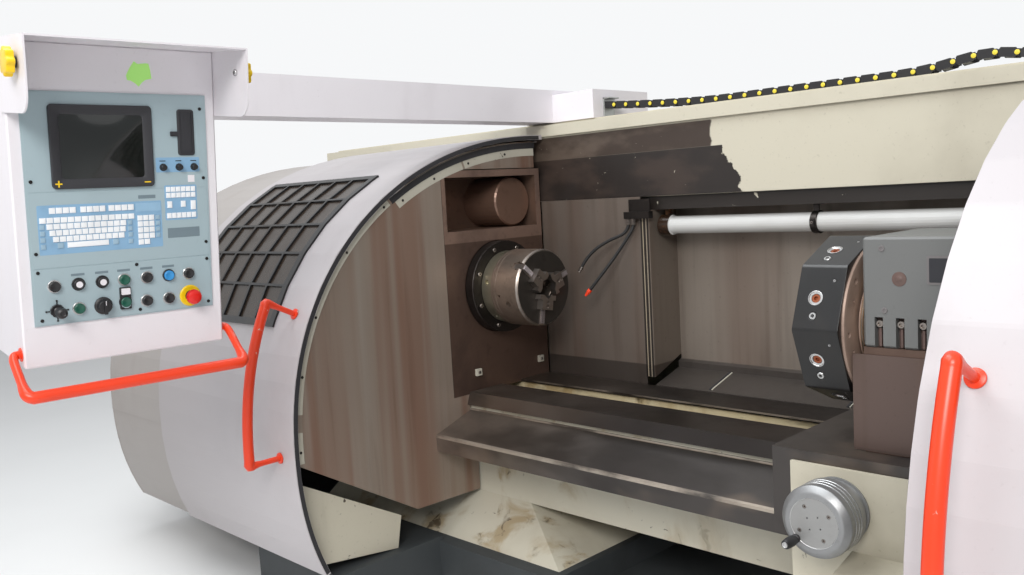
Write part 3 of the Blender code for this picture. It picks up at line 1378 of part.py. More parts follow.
def centre_on_floor(root):
    """Moves the root so that the middle of the outline stands on the origin, with the floor at zero."""
    bpy.context.view_layer.update()
    graph = bpy.context.evaluated_depsgraph_get()
    lows = [math.inf] * 2
    highs = [-math.inf] * 2
    for obj in bpy.data.objects:
        if obj.type not in ("MESH", "CURVE") or obj.hide_render:
            continue
        shape = obj.evaluated_get(graph)
        mesh = shape.to_mesh()
        for vertex in mesh.vertices:
            point = obj.matrix_world @ vertex.co
            for k in range(2):
                lows[k] = min(lows[k], point[k])
                highs[k] = max(highs[k], point[k])
        shape.to_mesh_clear()
    root.location = (-(lows[0] + highs[0]) / 2, -(lows[1] + highs[1]) / 2, SPINDLE_HEIGHT)


def main():
    clear_scene()
    root = empty("machine")
    spindle = empty("spindle_axis", root)
    motor_shaft = empty("motor_axis", root, (0, MOTOR_Y, MOTOR_Z))
    make_base(root)
    make_bed(root)
    make_headstock(root)
    make_drive(root, spindle, motor_shaft)
    make_spindle(spindle)
    for index in range(3):
        jaw = empty(f"jaw_slide_{index + 1}", spindle)
        jaw.rotation_euler = (math.radians(JAW_START + 120 * index), 0, 0)
        make_jaw(index + 1, jaw)
    for side in (-1, 1):
        word = "left" if side < 0 else "right"
        make_door(side, empty(f"{word}_door_slide", root))
        make_covers(side, root)
    make_skirt(root)
    make_roof(root)
    make_back_walls(root)
    make_lamp(root)
    make_hoses(root)
    carriage = empty("carriage_slide", root, (CARRIAGE_X, 0, 0))
    make_carriage(carriage)
    slide = empty("cross_slide_axis", carriage)
    make_cross_slide(slide)
    make_turret(empty("turret_axis", slide, (TURRET_X, TURRET_Y, TURRET_Z)))
    wheel = empty("handwheel_axis", carriage, (WHEEL_X, SADDLE_FRONT - GAP * 2 - 0.012, WHEEL_Z))
    turn = math.radians(GRIP_ANGLE)
    reach = WHEEL_RADIUS * 0.72
    grip = empty("grip_axis", wheel, (reach * math.cos(turn), -WHEEL_LENGTH - GAP, reach * math.sin(turn)))
    make_handwheel(wheel, grip)
    boom = empty("boom_slide", root, (BOOM_X, 0, 0))
    make_boom(boom)
    make_chain(boom)
    hanger = empty("console_swivel", boom, (0, POST_Y, 0))
    yaw = math.radians(CONSOLE_YAW)
    lean = math.radians(CONSOLE_LEAN)
    hanger.rotation_euler = (0, 0, yaw)
    reach = Matrix.Rotation(-yaw, 2) @ Vector((CONSOLE_CENTRE[0] - BOOM_X, CONSOLE_CENTRE[1] - POST_Y))
    pivot = (reach.x, reach.y + PIVOT_BACK * math.cos(lean), CONSOLE_CENTRE[2] + PIVOT_BACK * math.sin(lean))
    make_hanger(hanger, pivot)
    console = empty("console_tilt", hanger, pivot)
    console.rotation_euler = (lean, 0, 0)
    face = empty("console_face", console, (0, -PIVOT_BACK, 0))
    make_console(face)
    make_controls(face)
    centre_on_floor(root)


main()
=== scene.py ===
"""Looks of the CNC turning lathe: camera, light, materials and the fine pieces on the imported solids.

Everything is written in the part's own spindle frame, which S() turns into world metres.
"""

import json
import math

import bmesh
import bpy
from mathutils import Matrix, Vector

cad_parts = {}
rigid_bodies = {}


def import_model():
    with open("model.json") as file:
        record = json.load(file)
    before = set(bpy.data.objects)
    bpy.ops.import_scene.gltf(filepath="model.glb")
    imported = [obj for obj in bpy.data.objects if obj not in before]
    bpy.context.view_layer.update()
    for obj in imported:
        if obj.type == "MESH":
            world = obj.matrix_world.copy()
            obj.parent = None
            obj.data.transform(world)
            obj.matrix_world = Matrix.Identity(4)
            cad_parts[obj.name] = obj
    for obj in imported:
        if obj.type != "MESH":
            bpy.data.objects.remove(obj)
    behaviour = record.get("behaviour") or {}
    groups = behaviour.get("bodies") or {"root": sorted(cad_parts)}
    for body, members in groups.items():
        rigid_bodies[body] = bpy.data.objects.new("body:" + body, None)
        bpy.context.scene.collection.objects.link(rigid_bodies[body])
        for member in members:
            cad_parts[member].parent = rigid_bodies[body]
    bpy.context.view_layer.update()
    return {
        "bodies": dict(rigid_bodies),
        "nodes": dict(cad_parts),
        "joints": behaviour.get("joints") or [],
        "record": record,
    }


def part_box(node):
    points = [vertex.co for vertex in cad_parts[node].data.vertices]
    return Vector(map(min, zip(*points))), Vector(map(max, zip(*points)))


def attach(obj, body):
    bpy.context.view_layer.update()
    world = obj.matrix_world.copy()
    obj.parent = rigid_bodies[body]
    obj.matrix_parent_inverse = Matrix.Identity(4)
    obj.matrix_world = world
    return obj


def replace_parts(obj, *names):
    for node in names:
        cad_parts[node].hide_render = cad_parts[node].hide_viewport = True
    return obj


bpy.context.scene.view_settings.view_transform = "Standard"
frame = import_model()
NODES = frame["nodes"]

chuck_low, chuck_high = (Vector(corner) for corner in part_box("chuck_body"))
ROOT = Vector((chuck_high.x, (chuck_low.y + chuck_high.y) / 2, (chuck_low.z + chuck_high.z) / 2))


# World places are in metres. Coordinates given together with a frame are in millimetres.

MM = 0.001


def S(x, y, z):
    return Vector((x, y, z)) + ROOT


def move(x, y, z):
    return Matrix.Translation(Vector((x, y, z)) * MM)


def rot(degrees, axis):
    return Matrix.Rotation(math.radians(degrees), 4, axis)


def rgb(r, g, b):
    """An sRGB colour of 0 to 255 as linear values."""
    out = []
    for value in (r, g, b):
        c = value / 255
        out.append(c / 12.92 if c <= 0.04045 else ((c + 0.055) / 1.055) ** 2.4)
    return tuple(out)


# Camera

CAMERA_PLACE = (2.54804, -2.70247, 0.37790)
CAMERA_RIGHT = Vector((0.706276, 0.705657, -0.056759))
CAMERA_UP = Vector((-0.030359, 0.110292, 0.993435))
CAMERA_LENS = 32.27

camera = bpy.data.objects.new("camera", bpy.data.cameras.new("camera"))
bpy.context.scene.collection.objects.link(camera)
right = CAMERA_RIGHT.normalized()
up = (CAMERA_UP - right * CAMERA_UP.dot(right)).normalized()
facing = Matrix((right, up, right.cross(up))).transposed()
camera.matrix_world = Matrix.Translation(S(*CAMERA_PLACE)) @ facing.to_4x4()
camera.data.lens = CAMERA_LENS
camera.data.sensor_width = 36.0
camera.data.clip_start = 0.05
bpy.context.scene.camera = camera


# Shader building


class Look:
    """A Principled material whose colour, roughness and bump are built up in layers of masks.

    Colours are sRGB values of 0 to 255, and places are world metres.
    """

    def __init__(self, name, colour, roughness=0.5, metallic=0.0, **sockets):
        self.material = bpy.data.materials.new(name)
        self.material.use_nodes = True
        self.tree = self.material.node_tree
        self.shader = self.tree.nodes["Principled BSDF"]
        self.colour = (*rgb(*colour), 1)
        self.roughness = roughness
        self.normal = None
        sockets.update(Metallic=metallic, Roughness=roughness, Base_Color=self.colour)
        for socket, value in sockets.items():
            self.shader.inputs[socket.replace("_", " ")].default_value = value
        self.place = self.tree.nodes.new("ShaderNodeTexCoord").outputs["Object"]

    def feed(self, socket, value):
        if isinstance(value, bpy.types.NodeSocket):
            self.tree.links.new(value, socket)
        else:
            socket.default_value = value

    def node(self, kind, inputs, output=0, **values):
        """A node with its settings and its inputs filled in; returns one of its outputs."""
        made = self.tree.nodes.new("ShaderNode" + kind)
        for key, value in values.items():
            setattr(made, key, value)
        for socket, value in inputs.items():
            self.feed(made.inputs[socket], value)
        return made.outputs[output]

    def math(self, operation, a, b=0.0):
        return self.node("Math", {0: a, 1: b}, operation=operation)

    def moved(self, shift, stretch):
        return self.node("Mapping", {"Vector": self.place, "Location": shift, "Scale": stretch})

    def noise(self, scale, detail=4.0, stretch=(1, 1, 1), shift=(0, 0, 0), warp=0.0):
        inputs = {"Vector": self.moved(shift, stretch), "Scale": scale, "Detail": detail, "Roughness": 0.55,
                  "Distortion": warp}
        return self.node("TexNoise", inputs, "Fac")

    def cells(self, scale, shift):
        return self.node("TexVoronoi", {"Vector": self.moved(shift, (1, 1, 1)), "Scale": scale}, "Distance")

    def reach(self, value, low, high):
        """Maps low to high of a value onto 0 to 1, softly and clamped."""
        inputs = {"Value": value, "From Min": low, "From Max": high, "To Min": 0.0, "To Max": 1.0}
        return self.node("MapRange", inputs, "Result", interpolation_type="SMOOTHSTEP")

    def axis(self, index):
        return self.node("SeparateXYZ", {0: self.place}, index)

    def where(self, low, high, *scale_and_detail, **values):
        """One where a noise has passed from low to high."""
        return self.reach(self.noise(*scale_and_detail, **values), low, high)

    def past(self, index, low, high):
        """One where a coordinate has passed from low to high."""
        return self.reach(self.axis(index), low, high)

    def between(self, index, low, high, soft):
        """One where a coordinate lies between two values."""
        return self.mask_all(self.past(index, low, low + soft), self.past(index, high, high - soft))

    def mask_all(self, *masks):
        total = masks[0]
        for mask in masks[1:]:
            total = self.math("MULTIPLY", total, mask)
        return total

    def chipped(self):
        return self.mask_all(self.where(0.66, 0.69, 34, 5, warp=0.6), self.where(0.5, 0.62, 2.3, 3))

    def tint(self, mask, colour, amount=1.0, shade=1.0):
        """Lays a colour over what there is, where the mask is one."""
        laid = (*(shade * c for c in rgb(*colour)), 1)
        part = self.math("MULTIPLY", mask, amount)
        self.colour = self.node("Mix", {0: part, 6: self.colour, 7: laid}, 2, data_type="RGBA")

    def rub(self, mask, roughness, amount):
        part = self.math("MULTIPLY", mask, amount)
        self.roughness = self.node("Mix", {0: part, 2: self.roughness, 3: roughness}, data_type="FLOAT")

    def bump(self, value, depth, strength):
        inputs = {"Strength": strength, "Distance": depth, "Height": value}
        if self.normal is not None:
            inputs["Normal"] = self.normal
        self.normal = self.node("Bump", inputs, "Normal")

    def sprayed(self):
        """The faint grain of sprayed paint."""
        self.bump(self.noise(420, 2), 0.00015, 0.25)

    def done(self):
        self.feed(self.shader.inputs["Base Color"], self.colour)
        self.feed(self.shader.inputs["Roughness"], self.roughness)
        if self.normal is not None:
            self.feed(self.shader.inputs["Normal"], self.normal)
        return self.material


DUST = {"shift": (3.1, 0.7, 9.2)}
STREAKS = {"stretch": (1, 1, 0.22), "shift": (1, 5, 2)}


def painted(name, colour, roughness, dirt, amount, chips=None, under=None):
    """Sprayed paint: slight unevenness, faint grain, dust in patches, and chips to a darker coat."""
    look = Look(name, colour, roughness)
    # For the doors, under lays painted shade before the dirt.
    if under:
        under(look)
    patches = look.noise(1.7, 5, **DUST)
    look.tint(look.reach(patches, 0.48, 0.80), dirt, amount)
    look.tint(look.where(0.55, 0.85, 6.0, 6, **STREAKS), dirt, amount * 0.8)
    look.tint(look.where(0.62, 0.78, 90, 3), dirt, amount * 0.5)
    if chips:
        spots = look.chipped()
        look.tint(spots, chips)
        look.bump(spots, 0.0006, 0.4)
    look.rub(look.reach(patches, 0.4, 0.75), min(0.8, roughness + 0.2), 0.7)
    look.sprayed()
    return look.done()


def steel(name, colour, roughness, stain, amount, lines=(1, 1, 1), metallic=0.85, fields=()):
    """Bare oily steel: brushed lines along one way, blotchy stains, and fields of another tone, which are
    painted light on shaded areas.
    """
    look = Look(name, colour, roughness, metallic)
    for low_x, high_x, low_z, high_z, tone in fields:
        field = look.mask_all(look.between(0, low_x, high_x, 0.002), look.between(2, low_z, high_z, 0.004))
        look.tint(field, tone)
    blot = look.noise(3.2, 6, shift=(5, 1, 3), warp=0.3)
    look.tint(look.reach(blot, 0.42, 0.72), stain, amount)
    look.tint(look.where(0.55, 0.75, 26, 5, shift=(2, 8, 1)), stain, amount * 0.5)
    look.rub(look.reach(blot, 0.35, 0.7), min(0.9, roughness + 0.25), 0.8)
    look.bump(look.noise(60, 3, stretch=lines), 0.0003, 0.2)
    return look.done()


def plain(name, colour, roughness, metallic=0.0, grain=300, **sockets):
    look = Look(name, colour, roughness, metallic, **sockets)
    look.tint(look.where(0.5, 0.8, 14, 4), colour, 0.35, shade=0.6)
    look.rub(look.where(0.45, 0.7, 9, 4, shift=(4, 4, 4)), min(0.9, roughness + 0.15), 0.8)
    look.bump(look.noise(grain, 2), 0.0001, 0.3)
    return look.done()


def stained_guard():
    """Guard sheets: brown and grey vertical bands, drips and fine spatter, as coolant leaves them."""
    look = Look("guard_steel", (150, 136, 124), 0.42, 0.45)
    wide = look.noise(1.9, 2, stretch=(2.6, 2.6, 0.10), shift=(2.2, 0.4, 0), warp=0.4)
    look.tint(look.reach(wide, 0.42, 0.62), (124, 88, 70), 0.75)
    look.tint(look.where(0.50, 0.72, 5.2, 4, stretch=(2.2, 2.2, 0.07), shift=(7, 1, 3)), (160, 152, 142),
              0.55)
    look.tint(look.where(0.52, 0.78, 13, 5, stretch=(2, 2, 0.08), shift=(1, 4, 2)), (88, 62, 48), 0.35)
    look.tint(look.reach(look.cells(120, (3, 3, 3)), 0.16, 0.04), (58, 38, 30), 0.30)
    look.rub(look.reach(wide, 0.40, 0.65), 0.62, 0.8)
    look.bump(look.noise(70, 3, stretch=(1, 1, 0.1)), 0.0003, 0.2)
    return look.done()


def painted_shade_left_low(look):
    """Painted shade: greyer towards the left end of the machine and low down, for the shade on the left door.
    """
    far = look.reach(look.math("ADD", look.axis(0), look.math("MULTIPLY", look.axis(2), -0.5)), -1.10, -2.30)
    look.tint(far, (150, 144, 144), 0.7)


def bed_paint():
    """The bed's cream coat, yellowed between the guides and stained brown and black low down."""
    look = Look("bed_paint", (200, 195, 178), 0.45)
    look.tint(look.where(0.46, 0.80, 1.7, 5, **DUST), (120, 104, 72), 0.45)
    inside = look.mask_all(look.past(1, 0.560, 0.575), look.past(1, 0.712, 0.700), look.past(2, 0.40, 0.5))
    look.tint(inside, (222, 200, 140), 0.75)
    spots = look.where(0.52, 0.66, 18, 5, stretch=(0.3, 1, 1), warp=0.5)
    look.tint(look.mask_all(inside, spots), (70, 56, 34), 0.8)
    runs = look.where(0.50, 0.66, 5.5, 6, stretch=(1, 1, 0.5), shift=(4, 4, 1), warp=0.8)
    low = look.mask_all(look.past(0, 0.75, -0.35), runs)
    look.tint(low, (150, 122, 70), 0.6)
    look.tint(look.mask_all(low, look.where(0.56, 0.66, 16, 5, warp=0.8, shift=(2, 6, 1))), (52, 40, 28), 0.8)
    look.tint(look.chipped(), (50, 36, 28))
    look.rub(look.where(0.4, 0.75, 2.2, 4), 0.65, 0.7)
    look.sprayed()
    return look.done()


def run_steel(name, near, far, edges, metallic):
    """Guide and cover steel: lighter towards the headstock end, oilier along the run, and with painted
    highlights broken up along its edges and creases.
    """
    look = Look(name, far, 0.32, metallic)
    look.tint(look.past(0, 0.05, -0.75), near, 0.9)
    look.tint(look.where(0.50, 0.72, 2.6, 5, stretch=(0.5, 1, 1), shift=(5, 1, 3), warp=0.3), (34, 29, 26),
              0.6)
    look.tint(look.where(0.60, 0.72, 3.4, 3, stretch=(0.6, 1, 1), shift=(1, 8, 2)), (146, 128, 112), 0.35)
    # Painted highlights along given edge lines of the guides and creases of the ledge, broken up in patches.
    for low_y, high_y, low_z, high_z in edges:
        band = look.mask_all(look.between(1, low_y, high_y, 0.001), look.between(2, low_z, high_z, 0.001))
        edge_highlight = look.mask_all(band, look.where(0.34, 0.56, 9, 5, stretch=(0.4, 1, 1), shift=(2, 2, 6)))
        look.tint(edge_highlight, (190, 178, 164), 0.8)
    look.rub(look.where(0.40, 0.7, 3.2, 6, shift=(5, 1, 3)), 0.6, 0.8)
    look.bump(look.noise(60, 3, stretch=(0.03, 1, 1)), 0.0002, 0.2)
    return look.done()


def wall_steel(name, tone, dark, shade_and_highlight_bands=()):
    """Plain walls: grey-brown, streaked downwards, darker on the sloping chute, with bands on the front: dark
    ones of painted shade in the post's gaps and pale ones of painted highlight on its edges.
    """
    look = Look(name, tone, 0.45, 0.4)
    drips = look.where(0.44, 0.66, 2.1, 3, stretch=(2.4, 2.4, 0.12), shift=(6, 2, 1), warp=0.3)
    look.tint(drips, (104, 78, 64), 0.35)
    look.tint(look.where(0.50, 0.76, 8, 5, stretch=(2.2, 2.2, 0.08), shift=(3, 7, 2)), (80, 66, 56), 0.4)
    look.tint(look.past(2, 0.813, 0.807), dark, 0.85)
    look.tint(look.where(0.62, 0.76, 60, 4), (66, 54, 46), 0.3)
    look.rub(look.where(0.42, 0.7, 4, 4, shift=(2, 2, 9)), 0.65, 0.8)
    look.bump(look.noise(70, 3, stretch=(1, 1, 0.1)), 0.0003, 0.2)
    # Bands on the post's front: painted shade in its gaps and painted highlights on its edges.
    for low, high, shade in shade_and_highlight_bands:
        look.tint(look.mask_all(look.between(0, low, high, 0.0008), look.past(1, 0.8815, 0.8805)), shade, 0.9)
    return look.done()


def lamp_glass():
    """Milky glass with brown caps at both ends."""
    look = Look("lamp_glass", (206, 206, 204), 0.25)
    look.tint(look.where(0.5, 0.8, 5, 4, stretch=(0.3, 1, 1)), (150, 142, 128), 0.4)
    ends = look.math("MAXIMUM", look.past(0, -0.2095, -0.2105), look.past(0, 1.1895, 1.1905))
    look.tint(ends, (48, 34, 25))
    look.tint(look.mask_all(ends, look.where(0.50, 0.66, 14, 4, shift=(2, 5, 1))), (140, 92, 52), 0.7)
    look.bump(look.noise(200, 2), 0.0001, 0.2)
    return look.done()


def roof_paint():
    """Cream paint that stops short on the front, with the bare brown coat and chips beyond it, and painted
    shade along the bottom of the beam.
    """
    look = Look("roof_paint", (198, 192, 174), 0.45)
    look.tint(look.where(0.48, 0.80, 1.7, 5, **DUST), (96, 84, 60), 0.35)
    look.tint(look.where(0.62, 0.78, 90, 3), (96, 84, 60), 0.2)
    x = look.axis(0)
    z = look.axis(2)
    ragged = look.math("MULTIPLY", look.math("SUBTRACT", look.noise(22, 5, shift=(4, 9, 1)), 0.5), 0.10)
    slope = look.math("MULTIPLY", look.math("SUBTRACT", 1.672, z), 0.545)
    low_edge = look.math("ADD", look.math("ADD", slope, 0.056), ragged)
    low = look.mask_all(look.reach(look.math("SUBTRACT", x, low_edge), 0.006, 0.0),
                        look.reach(z, 1.6730, 1.6715))
    high = look.mask_all(look.reach(look.math("ADD", x, look.math("MULTIPLY", ragged, 0.4)), 0.022, 0.012),
                         look.reach(z, 1.6715, 1.6730), look.reach(z, 1.772, 1.768))
    face = look.mask_all(look.past(1, 0.8990, 0.8965), look.reach(x, -0.93, -0.90))
    coat = look.noise(3.6, 5, stretch=(1, 1, 2.2), shift=(8, 2, 5))
    chips = look.mask_all(look.where(0.71, 0.72, 64, 5, warp=0.7, shift=(1, 2, 8)),
                          look.where(0.46, 0.56, 5, 3, shift=(9, 3, 1)))
    for mask, tone, pale in ((low, (34, 28, 25), (58, 47, 41)), (high, (58, 47, 40), (92, 80, 70))):
        bare = look.mask_all(look.mask_all(mask, face), look.reach(chips, 0.9, 0.1))
        look.tint(bare, tone)
        look.tint(look.mask_all(bare, look.reach(coat, 0.46, 0.66)), pale, 0.8)
    # Painted shade: the bottom of the beam is laid nearly black-brown, broken only in a few spots.
    under = look.mask_all(look.past(2, 1.4945, 1.4925), look.past(1, 1.06, 1.05))
    look.tint(look.mask_all(under, look.where(0.74, 0.70, 26, 4, warp=0.5)), (34, 28, 24))
    look.rub(look.where(0.4, 0.75, 4, 3), 0.65, 0.7)
    look.sprayed()
    return look.done()


# Materials: the key used below, then the maker's own arguments

ALONG_X, ALONG_Y, ROUND_X = (0.05, 1, 1), (1, 0.06, 1), (1, 0.05, 0.05)
EVEN = (1, 1, 1)
HEAD_WALL = -0.8600
# Painted light: lighter fields on the headstock's end face from just below the recess upwards, and on the
# recess's walls, lifting them out of their shade.
HEAD_PAINTED_LIGHT = ((HEAD_WALL - 0.003, HEAD_WALL + 0.1, 1.345, 1.800, (146, 121, 108)),
               (HEAD_WALL - 0.5, HEAD_WALL - 0.002, 1.390, 1.800, (122, 98, 84)))
# Edge lines of the guides and creases of the ledge that get painted highlights.
WAY_EDGES = ((0.371, 0.3775, 0.715, 0.730), (0.692, 0.700, 0.722, 0.730), (0.580, 0.586, 0.722, 0.730))
LEDGE_EDGES = ((0.190, 0.206, 0.5780, 0.5920), (0.388, 0.406, 0.640, 0.660))
# Corner post bands: the dark ones are painted shade in its gaps, the pale ones painted highlights on its
# edges.
POST_SHADE_AND_HIGHLIGHT_BANDS = ((-0.3150, -0.3055, (30, 27, 25)), (-0.3010, -0.2890, (34, 30, 27)),
              (-0.2840, -0.2745, (28, 25, 24)),
              (-0.3055, -0.3010, (186, 172, 148)), (-0.2890, -0.2840, (170, 158, 140)))
BROWN_CHIPS = (50, 36, 28)

M = {
    "guard": stained_guard(),
    "bed": bed_paint(),
    "roof": roof_paint(),
    "lamp": lamp_glass(),
    "glass": plain("screen_glass", (16, 20, 18), 0.06, Coat_Weight=0.6),
    "bezel": plain("screen_bezel", (44, 44, 48), 0.5, grain=500),
}
for maker, rows in (
        (painted, (
            # The doors' paint gets painted shade towards the left end and low down.
            ("door", "door_paint", (190, 185, 187), 0.4, (120, 108, 104), 0.20, None, painted_shade_left_low),
            ("cover", "cover_paint", (154, 148, 144), 0.45, (120, 104, 92), 0.30),
            ("cream", "cream_paint", (196, 190, 172), 0.45, (96, 84, 60), 0.45, BROWN_CHIPS),
            ("plinth", "base_paint", (58, 62, 64), 0.6, (28, 26, 24), 0.5),
            ("black", "black_paint", (26, 26, 28), 0.4, (84, 72, 60), 0.25),
            ("grey", "grey_paint", (106, 107, 106), 0.5, (70, 62, 54), 0.45),
            ("red", "handle_red", (232, 62, 24), 0.3, (150, 52, 30), 0.25, (200, 190, 180)),
            ("white", "console_white", (226, 222, 226), 0.4, (150, 140, 140), 0.18),
            ("panel", "panel_blue", (158, 176, 182), 0.45, (120, 128, 130), 0.25),
            ("drum", "drum_black", (20, 20, 21), 0.3, (84, 72, 60), 0.2),
            ("housing_edge", "housing_edge", (112, 108, 108), 0.45, (80, 72, 66), 0.3),
            ("strip", "strip_paint", (188, 184, 170), 0.45, (104, 88, 70), 0.35, (70, 56, 46)))),
        (steel, (
            ("cast", "headstock_steel", (100, 80, 70), 0.4, (58, 44, 38), 0.6, ALONG_Y, 0.6, HEAD_PAINTED_LIGHT),
            # Painted light: the recess drum's tone is lightened to lift it out of the recess's shade.
            ("recess", "recess_steel", (118, 92, 78), 0.32, (74, 54, 44), 0.5, ALONG_Y, 0.4),
            ("bright", "turned_steel", (150, 142, 136), 0.28, (56, 46, 38), 0.5, (0.04, 1, 1), 0.95),
            ("dark", "dark_steel", (60, 56, 54), 0.35, (20, 17, 15), 0.6, ALONG_X, 0.9),
            ("brass", "brass_ring", (214, 190, 150), 0.3, (96, 70, 36), 0.4, ALONG_X, 0.9),
            ("chrome", "chrome", (196, 196, 196), 0.2, (90, 84, 78), 0.3),
            ("chuck", "chuck_side", (164, 150, 138), 0.3, (60, 46, 38), 0.6, ROUND_X, 0.9),
            ("chuck_face", "chuck_face", (74, 70, 66), 0.34, (30, 26, 24), 0.5, EVEN, 0.8),
            ("ring", "adaptor_steel", (176, 170, 150), 0.28, (84, 70, 52), 0.5, ROUND_X, 0.9),
            ("jaw", "jaw_steel", (196, 188, 190), 0.3, (104, 94, 92), 0.4),
            ("copper", "bush_copper", (196, 142, 104), 0.35, (110, 66, 44), 0.5),
            ("copper_dark", "bush_core", (150, 84, 56), 0.4, (70, 40, 28), 0.5, EVEN, 0.7),
            ("flange", "flange_steel", (176, 152, 138), 0.32, (84, 62, 50), 0.5, EVEN, 0.35),
            ("wheel_face", "wheel_face", (152, 152, 151), 0.4, (120, 118, 114), 0.3, EVEN, 0.4),
            ("wheel", "wheel_grey", (146, 147, 148), 0.36, (64, 62, 60), 0.4, EVEN, 0.6),
            ("zinc", "zinc_sheet", (176, 178, 176), 0.4, (110, 106, 100), 0.4))),
        (plain, (
            ("rubber", "rubber", (26, 25, 25), 0.65),
            ("pane", "stained_pane", (48, 38, 30), 0.25),
            ("yellow", "knob_yellow", (236, 196, 16), 0.35),
            ("stop", "stop_red", (214, 30, 22), 0.3),
            ("plastic", "black_plastic", (30, 29, 31), 0.4),
            ("blue", "field_blue", (132, 170, 200), 0.4),
            ("blue_light", "field_blue_light", (146, 182, 208), 0.4),
            ("panel_shade", "panel_shade", (112, 128, 136), 0.5),
            ("key_white", "key_white", (236, 238, 240), 0.4),
            ("key_grey", "key_grey", (150, 178, 196), 0.4),
            ("green", "button_green", (22, 82, 66), 0.35),
            ("button_blue", "button_blue", (52, 140, 202), 0.35),
            ("patch", "patch_green", (186, 252, 134), 0.6),
            ("plate_dark", "blank_plate", (58, 58, 62), 0.35, 0.5),
            ("plug_brown", "plug_brown", (96, 76, 70), 0.4),
            ("pin_yellow", "pin_yellow", (226, 206, 66), 0.4),
            ("seal", "door_seal", (40, 39, 42), 0.6))),
        (run_steel, (
            ("ways", "way_steel", (108, 98, 90), (58, 54, 52), WAY_EDGES, 0.85),
            ("ledge", "ledge_steel", (128, 116, 106), (72, 68, 66), LEDGE_EDGES, 0.6))),
        (wall_steel, (
            ("wall", "wall_steel", (138, 128, 118), (56, 52, 50)),
            ("side", "side_steel", (112, 102, 94), (60, 54, 50)),
            ("slide", "slide_sheet", (96, 80, 74), (84, 70, 64)),
            ("post", "post_steel", (120, 110, 100), (70, 60, 54), POST_SHADE_AND_HIGHLIGHT_BANDS)))):
    for key, *values in rows:
        M[key] = maker(*values)

NODES_OF = {
    "plinth": "base_plinth", "bed": "bed_casting", "ways": "front_way rear_way", "roof": "roof_beam",
    "ledge": "ledge_cover carriage_saddle", "cast": "headstock_casting cross_slide", "recess": "recess_drum",
    "cream": "rear_cover left_skirt_plate apron", "side": "rear_side_wall", "wall": "rear_wall",
    "post": "corner_post", "lamp": "lamp_tube", "guard": "left_guard_panel right_guard_panel",
    "cover": "left_cover right_cover", "rubber": "hose_front hose_rear drive_belt",
    "dark": "hose_bracket spindle_shaft motor_pulley", "grey": "main_motor handwheel turret_housing",
    "bright": "chuck_adaptor chuck_body chuck_jaw_1 chuck_jaw_2 chuck_jaw_3",
    "door": "left_door right_door", "pane": "left_window_pane right_window_pane",
    "black": "left_window_grid right_window_grid turret_drum", "slide": "slide_cover", "brass": "index_ring",
    "red": "coolant_nozzle left_door_handle right_door_handle console_handle",
    "plastic": "energy_chain handwheel_grip screen override_dial joystick",
    "white": "boom console_hanger console_case", "panel": "console_panel", "stop": "e_stop",
    "yellow": "left_knob right_knob",
}
for look, names in NODES_OF.items():
    for name in names.split():
        NODES[name].data.materials.clear()
        NODES[name].data.materials.append(M[look])


# Mesh building


def fresh_mesh(name, shape):
    """A shape's mesh, its normals turned outwards."""
    mesh = bpy.data.meshes.new(name)
    mesh.from_pydata(shape.verts, [], shape.faces)
    mesh.validate()
    bm = bmesh.new()
    bm.from_mesh(mesh)
    bmesh.ops.recalc_face_normals(bm, faces=bm.faces)
    bm.to_mesh(mesh)
    bm.free()
    return mesh


def linked(name, data):
    obj = bpy.data.objects.new(name, data)
    bpy.context.scene.collection.objects.link(obj)
    return obj


def smoothed(mesh, angle):
    mesh.polygons.foreach_set("use_smooth", [True] * len(mesh.polygons))
    mesh.set_sharp_from_angle(angle=math.radians(angle))


def break_edges(piece, width, angle=30):
    edge = piece.modifiers.new("edges", "BEVEL")
    edge.width = width * MM
    edge.segments = 2
    edge.limit_method = "ANGLE"
    edge.angle_limit = math.radians(angle)


def keep_flats(piece):
    piece.modifiers.new("normals", "WEIGHTED_NORMAL").keep_sharp = True


